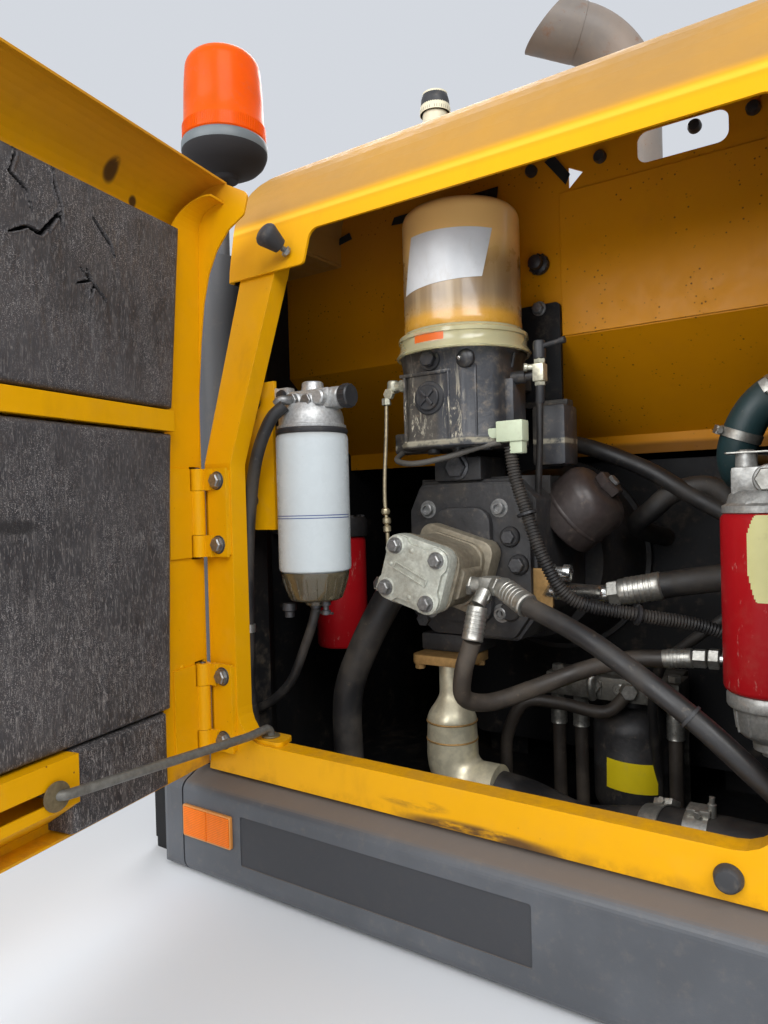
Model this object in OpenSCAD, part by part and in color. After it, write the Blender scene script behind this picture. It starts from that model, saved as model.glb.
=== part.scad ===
// Side service bay of a wheeled excavator's upper structure, with its hinged door standing open.
// Inside stand the main pump, gear pump, grease pump, filters, accumulator and their hoses.
// Bay axes: x runs along the face from the hinge side, y runs inward, z runs up from the sill.

/* [Bay] */
// Width of the bay between the hinge-side post and the far post
bay_w = 752; // [740:1:800]
// Depth of the bay from its face to the back wall
bay_d = 950; // [930:1:1100]
// Height of the door opening's sill
sill_h = 48; // [40:1:60]
// Height up to which the posts stand upright, before they lean inward
post_bend_z = 430; // [400:1:460]
// Width of the hinge-side post's face
post_w = 51; // [45:1:60]
// Width of the far post's face
far_post_w = 34; // [30:1:50]
// Thickness of the door frame's sheet
frame_t = 4; // [3:0.5:6]
// Depth of the posts' return flanges
frame_return = 28; // [20:1:35]
// Thickness of the bulkheads and of the hood's sheets
wall_t = 4; // [2:0.5:6]

/* [Deck] */
// Thickness of the deck plate
deck_t = 15; // [10:1:25]
// Height of the deck plate's top below the sill
deck_drop = 135; // [120:1:150]
// Spacing of the deck's bolt holes, both ways
deck_bolt_gap = 780; // [600:10:800]
// Radius of the deck's bolt holes
deck_bolt_r = 11; // [6:0.5:14]

/* [Roof] */
// Height of the roof cap's crown
crown_z = 930; // [900:1:980]
// Height of the crease between the lip strip and the shoulder
crease_z = 778; // [765:1:790]
// Height of the lip over the door opening
lip_z = 750; // [735:1:755]
// Distance of the inner panel behind the bay's face
panel_y = 350; // [340:1:360]
// Height of the inner panel's bottom bend
panel_z = 609; // [580:1:630]
// Height of the hood deck behind the roof cap
hood_z = 796; // [780:1:810]

/* [Door] */
// Angle at which the door stands open
door_open = 79.6; // [60:0.1:95]
// Width of the door from its hinge edge to its latch edge
door_w = 778; // [766:1:796]
// Thickness of the door's sheet
door_t = 3; // [2:0.5:4]
// Depth of the door's side flange
door_flange = 27; // [22:1:32]
// Radius of the door's curved top, inside the sheet
door_top_r = 62; // [56:1:80]
// Height of the foam pads' faces above the door's inner edge
foam_proud = 15; // [8:1:18]

/* [Hinges and stay] */
// Radius of the hinge knuckles
knuckle_r = 10; // [8:0.5:11]
// Radius of the hinge pins
pin_r = 4; // [3:0.5:5]
// Height of one hinge
hinge_h = 122; // [100:1:130]
// Radius of the door stay's rod
stay_r = 6; // [4:0.5:7]
// Radius of the washer on the stay's far end
stay_washer_r = 16; // [12:0.5:18]
// Height of the slot in the door's stay rail
slot_h = 15; // [14:0.5:18]

/* [Skirt] */
// Height of the grey skirt below the sill
skirt_h = 133; // [120:1:140]
// Distance by which the skirt stands out from the bay's face
skirt_out = 25; // [15:1:40]
// Wall thickness of the skirt
skirt_t = 6; // [3:0.5:8]

/* [Filters and pumps] */
// Radius of the screw-on filter cans
can_r = 51; // [45:0.5:55]
// Radius of the grease reservoir
reservoir_r = 85; // [75:1:90]
// Radius of the collar under the grease reservoir
collar_r = 93; // [88:1:98]
// Radius of the accumulator
acc_r = 60; // [50:1:65]
// Radius of the suction pipe's neck
neck_r = 17; // [14:1:24]
// Radius of the lower suction pipe
suction_r = 38; // [34:1:42]

/* [Hood top] */
// Radius of the exhaust stack
exhaust_r = 57; // [45:1:65]
// Radius of the breather tube
breather_r = 24; // [18:1:30]
// Radius of the beacon's lens
beacon_r = 66; // [55:1:70]
// Height of the beacon's lens
lens_h = 151; // [140:1:200]

/* [Hidden] */
$fn = 48;
seat = 0.3;
yellow = "#f0a808";
grey = "#4a4c50";
dark = "#26262a";
steel = "#9a9c9c";
alloy = "#b4b4ae";
hose_black = "#1c1c1e";

post_x = 13;
far_x = post_x + bay_w;
open_x0 = post_x + post_w;
open_x1 = far_x - far_post_w;
deck_z = -deck_drop;
deck_x0 = -140;
deck_x1 = far_x + 35;
deck_y0 = 14;
deck_y1 = bay_d + 4;
deck_cx = (deck_x0 + deck_x1) / 2;
deck_cy = (deck_y0 + deck_y1) / 2;
wall_x0 = -135;
wall_x1 = deck_x1 - 8;
jog_y = 215;
hinge_x = 14;
hinge_y = -15;
hinge_z = [31, 301];
door_in = -5;
stay_x = 104;
stay_y = 22;
stay_z = 63;
tab_t = 6;
stub_turn = 5.5;
stay_far = [93, -283, 73];
pump_x = 312;
pump_y = 215;
pump_w = 200;
pump_x0 = pump_x - pump_w / 2;
pump_x1 = pump_x + pump_w / 2;
pump_y1 = 420;
pump_z0 = 172;
pump_z1 = 400;
gear_x = 298;
gear_z = 276;
gear_y = 89;
grease_x = 300;
grease_y = 240;
grease_z = 443;
filter_x = 135;
filter_y = 90;
red_x = far_x - 69;
red_y = 215;
exhaust_x = 386;
exhaust_y = bay_d - 112;
pillar_x = -133;
pillar_y = 172;
pillar_r = 38;
beacon_x = -105;
beacon_y = 172;

// points of an arc about c, from angle a0 to a1 in n steps
function arc(c, r, a0, a1, n) =
    [for (i = [0:n]) let (a = a0 + (a1 - a0) * i / n) [c[0] + r * cos(a), c[1] + r * sin(a)]];
function unit(v) = v / norm(v);
function left_of(v) = [-v[1], v[0]];
// the open line p moved sideways by t, to the left of its travel
function aside(p, t) = [for (i = [0:len(p) - 1])
    let (a = unit(p[max(i, 1)] - p[max(i, 1) - 1]),
         b = unit(p[min(i, len(p) - 2) + 1] - p[min(i, len(p) - 2)]),
         m = unit(left_of(a) + left_of(b)))
    p[i] + m * t / (m * left_of(a))];
function backward(p) = [for (i = [len(p) - 1:-1:0]) p[i]];
// a closed outline with each corner rounded to radius r[i]
function rounded(p, r, n = 6) = [for (i = [0:len(p) - 1])
    let (c = p[i], a = unit(p[(i + len(p) - 1) % len(p)] - c), b = unit(p[(i + 1) % len(p)] - c),
         h = acos(a * b) / 2, turn = (180 - 2 * h) * sign(a[1] * b[0] - a[0] * b[1]),
         m = c + unit(a + b) * r[i] / sin(h), v = c + a * r[i] / tan(h) - m)
    for (k = [0:(r[i] > 0 ? n : 0)]) let (w = turn * k / n)
        r[i] > 0 ? m + [v[0] * cos(w) - v[1] * sin(w), v[0] * sin(w) + v[1] * cos(w)] : c];
function box_corners(x0, y0, x1, y1) = [[x0, y0], [x1, y0], [x1, y1], [x0, y1]];

// a sheet's section: the line p with thickness t to its left
module strip(p, t) polygon(concat(p, backward(aside(p, t))));
module round_box(x0, y0, x1, y1, r) polygon(rounded(box_corners(x0, y0, x1, y1), [r, r, r, r]));
// extrusions of a section drawn in (y, z) along x, and of one drawn in (x, z) along y
module along_x(x0, x1) translate([x0, 0, 0]) rotate([90, 0, 90]) linear_extrude(x1 - x0) children();
module along_y(y0, y1) translate([0, y1, 0]) rotate([90, 0, 0]) linear_extrude(y1 - y0) children();
module along_z(z0, z1) translate([0, 0, z0]) linear_extrude(z1 - z0) children();
// a cylinder from point a to point b
module rod(a, b, r, r2 = -1, sides = 48) {
    v = b - a;
    translate(a) rotate([0, acos(v[2] / norm(v)), atan2(v[1], v[0])])
        cylinder(h = norm(v), r1 = r, r2 = r2 < 0 ? r : r2, $fn = sides);
}
// a turned piece from point a along v, with its section as (radius, length) points
module lathe(a, v, profile) translate(a) rotate([0, acos(v[2] / norm(v)), atan2(v[1], v[0])])
    rotate_extrude() polygon(profile);
module at_bay() translate([-deck_cx, -deck_cy, deck_drop + deck_t]) children();
module at_door() at_bay() translate([hinge_x, hinge_y, 0]) rotate([0, 0, -door_open]) children();

// a smooth line through the points p, with n steps between two points
function spline_point(p, i, t) =
    let (a = i > 0 ? p[i - 1] : 2 * p[0] - p[1], b = p[i], c = p[i + 1],
         d = i + 2 < len(p) ? p[i + 2] : 2 * p[i + 1] - p[i])
    0.5 * (2 * b + (c - a) * t + (2 * a - 5 * b + 4 * c - d) * t * t + (3 * b - a - 3 * c + d) * pow(t, 3));
function smooth(p, n) =
    concat([for (i = [0:len(p) - 2], k = [0:n - 1]) spline_point(p, i, k / n)], [p[len(p) - 1]]);
function heading(q, i) = unit(q[min(i + 1, len(q) - 1)] - q[max(i - 1, 0)]);
function carried(q, i, u) = i >= len(q) ? [] :
    let (t = heading(q, i), v = unit(u - (u * t) * t)) concat([v], carried(q, i + 1, v));
// a hose of radius r swept along the smooth line through p
module hose(p, r, n = 2, sides = 8) {
    q = smooth(p, n);
    ups = carried(q, 0, unit([0.31, 0.22, 0.92]));
    rings = [for (i = [0:len(q) - 1]) let (t = heading(q, i), v = ups[i], w = cross(t, v))
        for (k = [0:sides - 1]) q[i] + r * (v * cos(360 * k / sides) + w * sin(360 * k / sides))];
    last = (len(q) - 1) * sides;
    polyhedron(rings, concat(
        [[for (k = [0:sides - 1]) k]], [[for (k = [sides - 1:-1:0]) last + k]],
        [for (i = [0:len(q) - 2], k = [0:sides - 1]) let (a = i * sides + k, b = i * sides + (k + 1)
            % sides)
            [a, a + sides, b + sides, b]]));
}

// section of the door frame's outer face, in (y, z)
lean_y = 64;
lean_z = 696;
face_line = [[0, 0], [0, post_bend_z], [lean_y, lean_z], [lean_y + 15.8, lean_z + 56]];
// section of the roof cap's outer face, from the tab's lower edge to the back flange
crease = [82, crease_z];
crown_y = 290;
rise = crown_z - crease_z;
crown_r = (pow(crown_y - crease[0], 2) + pow(rise, 2)) / (2 * rise);
crown_c = [crown_y, crown_z - crown_r];
crease_a = atan2(crease_z - crown_c[1], crease[0] - crown_c[0]);
cap_back = 400;
tab_z = 700;
cap_line = concat([[lean_y - 3.6, tab_z]], arc(crown_c, crown_r, crease_a, 90, 12), [[cap_back, crown_z]]);

module deck_plate() at_bay() color(dark) difference() {
    union() {
        along_z(deck_z - deck_t, deck_z) round_box(deck_x0, deck_y0, deck_x1, deck_y1, 12);
        translate([wall_x0, deck_y0, deck_z]) cube([wall_x1 - wall_x0, 8, deck_drop]);
    }
    for (x = [-1, 1], y = [-1, 1])
        translate([deck_cx + x * deck_bolt_gap / 2, deck_cy + y * deck_bolt_gap / 2, deck_z - deck_t - 1])
            cylinder(h = deck_t + 2, r = deck_bolt_r);
}

// outline of the posts and sill, and of the opening between them, in (x, z)
post_top = lean_z + 54;
frame_out = [[post_x - 7, 0], [far_x + 7, 0], [far_x, 60], [far_x, post_top], [post_x + 16, post_top],
    [post_x + 16, tab_z], [post_x, post_bend_z], [post_x, 60]];
opening = rounded([[open_x0, sill_h], [open_x1, sill_h], [open_x1, 900], [open_x0 + 32, 900],
    [open_x0 + 32, tab_z], [open_x0, post_bend_z]], [45, 45, 0, 0, 60, 160]);
module door_frame() at_bay() color(yellow) {
    difference() {
        intersection() {
            along_x(post_x - 7, far_x + 7) strip(face_line, -frame_t);
            along_y(-5, 120) polygon(frame_out);
        }
        along_y(-10, 130) polygon(opening);
    }
    intersection() {
        along_x(open_x0 - 10, open_x1 + 10)
            polygon(concat(aside(face_line, -frame_t), backward(aside(face_line, -frame_return))));
        along_y(-5, 140) difference() {
            polygon(opening_grown());
            polygon(opening);
        }
    }
    for (x = [post_x, far_x - frame_t]) intersection() {
        along_x(x, x + frame_t)
            polygon(concat(aside(face_line, -frame_t), backward(aside(face_line, -frame_return))));
        along_y(-5, 140) translate([x - 1, 0]) square([frame_t + 2, post_bend_z]);
    }
    translate([post_x, frame_t, 0]) cube([bay_w, 36, frame_t]);
}
function opening_grown() = rounded([[open_x0 - 4, sill_h - 4], [open_x1 + 4, sill_h - 4],
    [open_x1 + 4, post_top], [open_x0 + 28, post_top], [open_x0 + 28, tab_z], [open_x0 - 4, post_bend_z]],
    [49, 49, 0, 0, 60, 160]);

// outlines of the roof cap, seen from the front and from above, shrunk by g
cap_x0 = post_x - 18;
cap_x1 = far_x + 27;
function cap_front(g) = rounded([[post_x - 5 + g, tab_z - 1 - g], [open_x0 + 88, tab_z - 1 - g],
    [open_x0 + 90, lip_z], [open_x1 - 4, lip_z], [open_x1, tab_z - 1 - g], [cap_x1 - g, tab_z - 1 - g],
    [cap_x1 - g, crown_z + 20 - g], [cap_x0 + g, crown_z + 20 - g], [cap_x0 + g, crease_z]],
    [0, 6, 14, 14, 6, 0, 110 - g, 110 - g, 0]);
function cap_plan(g) = rounded([[cap_x0 + g, 20], [cap_x1 - g, 20], [cap_x1 - g, cap_back + 5],
    [cap_x0 + g, cap_back + 5]],
    [90 - g, 90 - g, 0, 0]);
module cap_solid(g) intersection() {
    along_x(cap_x0, cap_x1) polygon(concat(g > 0 ? aside(cap_line, -g) : cap_line,
        [[cap_back + (g > 0 ? 1 : 0), tab_z - 30], [lean_y - 3.6 + g, tab_z - 30]]));
    along_y(-5, cap_back + 2) polygon(cap_front(g));
    along_z(tab_z - 40, crown_z + 30) polygon(cap_plan(g));
}
module roof_cap() at_bay() color(yellow) difference() {
    cap_solid(0);
    cap_solid(wall_t);
    translate([cap_x0 - 10, 92, tab_z - 50]) cube([cap_x1 - cap_x0 + 20, 400,
        hood_z + wall_t - tab_z + 50]);
    translate([open_x0 + 105, 40, tab_z - 50]) cube([open_x1 - open_x0 - 124, 100, lip_z - tab_z + 50]);
}

module inner_panel() at_bay() color(yellow) {
    difference() {
        union() {
            translate([wall_x0 + wall_t, panel_y, panel_z])
                cube([wall_x1 - wall_x0 - wall_t, 3, hood_z - panel_z]);
            intersection() {
                translate([cap_x0, panel_y, hood_z - 1]) cube([cap_x1 - cap_x0, 3, 300]);
                cap_solid(wall_t);
            }
        }
        along_y(panel_y - 5, panel_y + 10) {
            round_box(524, 834, 642, 878, 14);
            polygon([[424, 826], [446, 846], [424, 858]]);
            round_box(690, 830, 716, 856, 8);
        }
    }
    intersection() {
        translate([410, panel_y - 3, panel_z + 2]) cube([wall_x1 - 410, 3, 211]);
        union() {
            cap_solid(wall_t + 1);
            translate([wall_x0, 0, 0]) cube([wall_x1 - wall_x0, panel_y, hood_z]);
        }
    }
    along_x(wall_x0 + wall_t, wall_x1)
        strip([[panel_y + 0.01, panel_z], [537, 472], [537, 440]], 3);
}

module hood_deck() at_bay() color(yellow) difference() {
    along_z(hood_z, hood_z + wall_t) polygon([[wall_x0 - 4, bay_d + 4], [wall_x0 - 4, jog_y - 4],
        [-72, jog_y - 4], [cap_x0, 134], [cap_x0, panel_y + 3], [wall_x1 + 4, panel_y + 3], [wall_x1 + 4,
            bay_d + 4]]);
    translate([exhaust_x, exhaust_y, hood_z - 1]) cylinder(h = wall_t + 2, r = exhaust_r + 6);
}

// how far forward and up the bulkheads reach behind the face, in (y, z)
wall_front = [[frame_return, deck_z], [frame_return, post_bend_z], [lean_y + frame_return, lean_z],
    [lean_y + frame_return + 12, lean_z + 54], [120, hood_z], [bay_d, hood_z], [bay_d, deck_z]];
left_line = [[post_x - 4, frame_return], [post_x - 4, 120], [-70, jog_y], [wall_x0, jog_y], [wall_x0,
    bay_d]];
right_line = [[far_x, frame_return], [wall_x1 + wall_t, frame_return], [wall_x1 + wall_t, bay_d]];
module left_bulkhead() at_bay() color(dark) intersection() {
    along_z(deck_z, hood_z) strip(left_line, -wall_t);
    along_x(wall_x0 - 5, 60) polygon(wall_front);
}
module right_bulkhead() at_bay() color(dark) {
    intersection() {
        along_z(deck_z, hood_z) strip(right_line, wall_t);
        along_x(far_x - 5, wall_x1 + 5) polygon(wall_front);
    }
    intersection() {
        along_x(far_x - 16, wall_x1) strip(aside(face_line, -frame_return), -wall_t);
        along_y(0, 200) translate([far_x - 20, post_bend_z]) square([100, post_top - post_bend_z]);
    }
}
module back_wall() at_bay() color(dark)
    translate([wall_x0 - 4, bay_d, deck_z]) cube([wall_x1 - wall_x0 + 8, 4, hood_z - deck_z]);

// the skirt's hollow section in (y, z), shrunk by g
skirt_z1 = -2;
function skirt_section(g) = rounded([[deck_y0, skirt_z1 - g], [-skirt_out + g, skirt_z1 - 18 - g],
    [-skirt_out + g, -skirt_h - deck_t + g], [deck_y0, -skirt_h - deck_t + g]], [0, 16, 22 - g, 0]);
skirt_x0 = -23;
skirt_x1 = far_x + 27;
module skirt() at_bay() color(grey) difference() {
    along_x(skirt_x0, skirt_x1) polygon(skirt_section(0));
    along_x(skirt_x0 - 1, skirt_x1 - skirt_t) polygon(skirt_section(skirt_t));
    along_y(-skirt_out - 1, -skirt_out + 1.2) round_box(88, -109, 501, -43, 3);
}
module skirt_end() at_bay() color(grey) difference() {
    intersection() {
        along_x(-88, skirt_x0 - 3) polygon(skirt_section(0));
        along_z(-200, 10) polygon(rounded([[-88, -skirt_out], [0, -skirt_out], [0, 60], [-88, 60]], [38,
            0, 0, 0]));
        along_y(-60, 60) polygon(rounded([[-88, -skirt_h - deck_t], [0, -skirt_h - deck_t], [0, 10],
            [-88, 10]],
            [24, 0, 0, 0]));
    }
    along_x(-88 + skirt_t, 0) polygon(skirt_section(skirt_t));
}
module skirt_reflector() at_bay() color("#f07010") along_y(-skirt_out - 6, -skirt_out)
    round_box(-20, -90, 74, -46, 3);

module corner_pillar() at_bay() color("#55575a") {
    translate([pillar_x, pillar_y, deck_z]) cylinder(h = 925, r = pillar_r);
    translate([beacon_x - 12, beacon_y, deck_z + 920]) cylinder(h = beacon_z - deck_z - 920, r = 12);
}
beacon_z = 916;
base_h = 94;
module beacon_base() at_bay() color(dark) translate([beacon_x, beacon_y, beacon_z])
    rotate_extrude(convexity = 4)
    polygon([[0, 0], [26, 0], [38, 8], [58, 26], [beacon_r + 3, 46], [beacon_r + 5, 60], [beacon_r + 5, 84],
        [beacon_r + 1, base_h], [beacon_r - 6, base_h], [beacon_r - 6, base_h - 6], [0, base_h - 6]]);
module beacon_lens() at_bay() color("#ff5a10") translate([beacon_x, beacon_y, beacon_z + base_h])
    rotate_extrude(convexity = 4)
    polygon(concat([[beacon_r - 3, 0], [beacon_r, 0], [beacon_r, 30]], arc([beacon_r - 26, lens_h - 22],
        22, 0, 90, 6),
        [[0, lens_h], [0, lens_h - 3]], arc([beacon_r - 26, lens_h - 22], 19, 90, 0, 6), [[beacon_r - 3,
            30]]));
module beacon_rotor() at_bay() color(alloy) translate([beacon_x, beacon_y, beacon_z + base_h - 6]) {
    cylinder(h = 14, r = 22);
    translate([0, 0, 14]) cylinder(h = 70, r = 6);
    difference() {
        translate([0, 0, 62]) rotate([0, 90, 0]) cylinder(h = 50, r = 38, center = true);
        translate([22, 0, 62]) scale([1, 1, 1]) sphere(r = 36);
        translate([-30, -50, 10]) cube([22, 100, 110]);
    }
}

// hinge: frame leaf with top and bottom knuckles round a pin, door leaf with the middle knuckle
knuckle_end = 30;
module hinge_frame_leaves() at_bay() color(yellow) for (z = hinge_z) {
    difference() {
        union() {
            for (k = [0, hinge_h - knuckle_end]) {
                translate([hinge_x, hinge_y, z + k]) cylinder(h = knuckle_end, r = knuckle_r);
                translate([hinge_x, hinge_y + 2, z + k]) cube([22, 5, knuckle_end]);
            }
            translate([hinge_x + 12, -8, z]) cube([36, 4, hinge_h]);
            translate([hinge_x + 16, -4, z + 3]) cube([32, 4, hinge_h - 6]);
        }
        translate([hinge_x, hinge_y, z - 1]) cylinder(h = hinge_h + 2, r = pin_r);
    }
    translate([hinge_x, hinge_y, z]) cylinder(h = hinge_h, r = pin_r);
    for (k = [17, hinge_h - 17]) translate([hinge_x + 31, -8, z + k]) rotate([90, 0, 0]) {
        cylinder(h = 2, r = 11);
        cylinder(h = 6, r = 8.5, $fn = 6);
    }
}
module door_hinge_leaves() at_door() color(yellow) for (z = hinge_z) difference() {
    union() {
        translate([0, 0, z + knuckle_end + 0.5]) cylinder(h = hinge_h - 2 * knuckle_end - 1, r = knuckle_r);
        translate([0, door_in, z + knuckle_end + 0.5]) cube([26, 3, hinge_h - 2 * knuckle_end - 1]);
        translate([knuckle_r + 3, door_in, z]) cube([44, 3, hinge_h]);
    }
    translate([0, 0, z - 1]) cylinder(h = hinge_h + 2, r = pin_r + 0.2);
}

module stay_tab() at_bay() color(yellow) difference() {
    intersection() {
        along_y(0, 60) polygon(opening);
        along_z(sill_h, sill_h + tab_t) polygon(rounded([[stay_x - 24, frame_t], [stay_x + 34, frame_t],
            [stay_x + 24, 40], [stay_x - 24, 40]], [0, 8, 8, 8]));
    }
    translate([stay_x, stay_y, sill_h - 1]) cylinder(h = tab_t + 2, r = stay_r + 0.3);
}
// the stay hooks down into its tab and reaches through the door's slotted rail
module stay_rod() at_bay() color("#8a8a84") {
    top = [stay_x, stay_y, stay_z];
    back = [cos(270 - door_open - stub_turn), sin(270 - door_open - stub_turn), 0];
    translate([stay_x, stay_y, sill_h + 2.5]) cylinder(h = stay_z + stay_r - sill_h - 2.5, r = stay_r - 0.5);
    translate([stay_x, stay_y, sill_h + tab_t + seat]) cylinder(h = 2, r = 13);
    rod(top, stay_far, stay_r);
    rod(stay_far - back * (stay_r + 0.5), stay_far + back * 34, stay_r - 1);
    rod(stay_far + back * 2.5, stay_far + back * 5, stay_washer_r);
}

module rubber_stops() at_bay() color(dark) {
    translate([far_x - 82, 0, 22]) rotate([90, 0, 0]) {
        cylinder(h = 3, r = 13);
        translate([0, 0, 3]) cylinder(h = 8, r1 = 12, r2 = 9);
    }
    lathe([124, 63.8, 719.4], [-18, -46, 30],
        [[0, 0], [4, 0], [4, 14.5], [10, 14.5], [17, 37.5], [17, 40.5], [11, 47.5], [0, 47.5]]);
}

module filter_bracket() at_bay() color(yellow) difference() {
    union() {
        translate([post_x, 66, 335]) cube([70, 6, 212]);
        translate([post_x, 72, 335]) cube([6, 40, 212]);
        translate([post_x + 30, 66, 490]) cube([44, 6, 57]);
    }
    translate([48, 60, 500]) rotate([-90, 0, 0]) cylinder(h = 20, r = 6);
}
module filter_head() at_bay() color(alloy) {
    translate([filter_x, filter_y, 481]) cylinder(h = 26, r = can_r - 6);
    translate([filter_x - 50, filter_y - 18, 500]) cube([96, 36, 30]);
    translate([filter_x - 68, 72, 498]) cube([40, 14, 38]);
    translate([filter_x, filter_y, 530]) cylinder(h = 12, r = 15);
    rod([filter_x + 40, filter_y, 518], [filter_x + 72, filter_y, 518], 14);
    rod([filter_x - 2, filter_y - 44, 512], [filter_x - 2, filter_y - 10, 512], 9);
    rod([48, 66, 520], [48, 58, 520], 12);
    rod([filter_x, filter_y, 475], [filter_x, filter_y, 481], can_r - 2);
}
module filter_can() at_bay() color("#d8dad8") translate([filter_x, filter_y, 275]) {
    rotate_extrude() polygon(concat([[0, 0]], arc([can_r - 8, 8], 8, -90, 0, 4), arc([can_r - 6, 194], 6,
        0, 90, 4), [[0, 200]]));
}
module filter_bowl() at_bay() color("#6a6048") translate([filter_x, filter_y, 227])
    rotate_extrude() polygon([[0, 0], [14, 0], [16, 6], [34, 10], [42, 22], [47, 34], [49, 48], [0, 48]]);
module rear_filter() at_bay() {
    color("#a81818") translate([18, 300, 124]) cylinder(h = 190, r = 44);
    color(dark) {
        translate([18, 300, 314]) cylinder(h = 34, r = 48);
        translate([wall_x0 + 4, 284, 318]) cube([120, 32, 26]);
    }
}

module red_filter_head() at_bay() color(alloy) {
    translate([red_x, red_y, 346]) cylinder(h = 22, r = can_r - 2);
    translate([red_x - 36, red_y - 24, 366]) cube([96, 48, 34]);
    translate([red_x + 40, red_y - 20, 368]) cube([wall_x1 - red_x - 40, 40, 26]);
    for (x = [-20, 16]) translate([red_x + x, red_y, 398]) cylinder(h = 20, r = 11);
    rod([red_x - 10, red_y - 40, 384], [red_x - 10, red_y - 20, 384], 12);
}
module red_filter_can() at_bay() color("#b01c20") translate([red_x, red_y, 143])
    rotate_extrude() polygon(concat([[0, 0]], arc([can_r - 6, 6], 6, -90, 0, 4), arc([can_r - 6, 197], 6,
        0, 90, 4), [[0, 203]]));
module red_filter_base() at_bay() color(alloy) translate([red_x, red_y, 77])
    rotate_extrude() polygon([[0, 0], [20, 0], [24, 12], [34, 18], [40, 46], [46, 54], [46, 66], [0, 66]]);

module grease_plate() at_bay() color(dark) {
    along_y(panel_y - 8 - 3, panel_y - 3) round_box(225, 414, 410, 661, 8);
    for (x = [250, 385]) translate([x, panel_y - 3, 630]) rotate([-90, 0, 0]) cylinder(h = 3, r = 12);
}
module grease_body() at_bay() color("#2e2e30") {
    translate([grease_x, grease_y, grease_z + 18]) cylinder(h = 125, r = 78);
    translate([grease_x, grease_y, grease_z]) cylinder(h = 18, r1 = 70, r2 = 77);
    translate([grease_x, grease_y, grease_z + 137]) cylinder(h = 16, r = 80);
    translate([grease_x - 64, grease_y - 20, grease_z + 88]) cube([128, 119, 42]);
    translate([grease_x + 40, grease_y - 18, grease_z + 30]) cube([46, 44, 64]);
    translate([grease_x - 92, grease_y - 12, grease_z + 12]) cube([40, 30, 30]);
    for (p = [[-24, 116, 9], [20, 116, 9], [-24, 62, 19], [34, 74, 8]])
        translate([grease_x + p[0], grease_y - 40, grease_z + p[1]])
            rotate([90, 0, 0]) cylinder(h = 42, r = p[2]);
}
module grease_collar() at_bay() color("#c8c0a0") translate([grease_x, grease_y, grease_z + 153]) {
    cylinder(h = 7, r = collar_r - 6);
    translate([0, 0, 7]) cylinder(h = 8, r = collar_r);
    translate([0, 0, 15]) cylinder(h = 6, r1 = collar_r - 1, r2 = reservoir_r + 2);
}
module grease_reservoir() at_bay() color("#b08030") translate([grease_x, grease_y, grease_z + 174])
    rotate_extrude() polygon(concat([[0, 0], [reservoir_r, 0]], arc([reservoir_r - 16, 152], 16, 0, 90,
        5), [[0, 168]]));
module grease_fittings() at_bay() {
    color("#c8d8b0") translate([grease_x + 76, grease_y - 58, 440]) cube([32, 22, 30]);
    color(steel) {
        rod([grease_x + 87, grease_y - 18, 500], [grease_x + 87, grease_y - 34, 500], 8);
        rod([grease_x + 86.3, grease_y - 8, 537], [grease_x + 120, grease_y - 8, 537], 6);
        rod([grease_x + 120, grease_y - 8, 524], [grease_x + 120, grease_y - 8, 578], 7);
    }
}

module main_pump() at_bay() color("#303033") {
    difference() {
        along_y(pump_y, pump_y1) polygon(rounded([[pump_x0, pump_z0 + 30], [pump_x0 + 40, pump_z0],
            [pump_x1 - 30, pump_z0],
            [pump_x1, pump_z0 + 40], [pump_x1, pump_z1 - 30], [pump_x1 - 30, pump_z1], [pump_x0 + 20,
                pump_z1],
            [pump_x0, pump_z1 - 40]], [12, 12, 12, 12, 12, 12, 12, 12], 4));
        for (x = [36, 150], z = [40, 186]) translate([pump_x0 + x, pump_y - 1, pump_z0 + z])
            rotate([-90, 0, 0]) cylinder(h = 9, r = 11);
    }
    translate([258, pump_y + 4, pump_z1]) cube([76, 84, 32]);
    translate([pump_x - 82, pump_y, pump_z0 - 22]) cube([90, 70, 24]);
    for (x = [36, 150], z = [40, 186]) translate([pump_x0 + x, pump_y + 8, pump_z0 + z])
        rotate([90, 0, 0]) cylinder(h = 10, r = 8);
}
gear_tilt = -17;
module gear_shape(w, h, r) round_box(-w / 2, -h / 2, w / 2, h / 2, r);
module at_gear() at_bay() translate([gear_x, gear_y, gear_z]) rotate([0, -gear_tilt, 0]) children();
module gear_pump_cover() at_gear() color(alloy) {
    along_y(0, 23) gear_shape(104, 92, 20);
    for (x = [-1, 1], z = [-1, 1]) translate([x * 36, 0, z * 31]) rotate([90, 0, 0]) cylinder(h = 8,
        r = 9, $fn = 6);
    intersection() {
        along_y(-4, 1) gear_shape(100, 88, 18);
        translate([0, 0, 0]) rotate([0, 38, 0]) translate([-50, -4, -9]) cube([100, 5, 18]);
    }
}
module gear_pump_body() at_gear() color("#8e8e88") {
    along_y(23, 96) gear_shape(98, 86, 24);
    along_y(96, pump_y - gear_y) gear_shape(118, 104, 20);
}

module suction_flange() at_bay() color("#b89a58") translate([pump_x - 37, pump_y + 35 - 27,
    pump_z0 - 36]) difference() {
    translate([-44, -40, 0]) cube([88, 84, 14]);
    translate([0, 0, -1]) cylinder(h = 16, r = neck_r - 3);
}
suction_x = pump_x - 37;
suction_y = pump_y + 8;
elbow_r = 40;
elbow_z = 22;
module suction_pipe() at_bay() color("#b8ac90") translate([suction_x, suction_y, 0]) {
    rotate_extrude() polygon([[0, elbow_z], [suction_r, elbow_z], [suction_r, 46], [suction_r - 1, 52],
        [neck_r + 1, 88], [neck_r, 96], [neck_r, pump_z0 - 36], [0, pump_z0 - 36]]);
    translate([elbow_r, 0, elbow_z]) rotate([90, 0, 180]) rotate_extrude(angle = -90)
        translate([elbow_r, 0]) circle(r = suction_r);
    translate([elbow_r, 0, elbow_z - elbow_r]) rotate([0, 90, 0]) cylinder(h = 30, r = suction_r);
}

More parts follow.
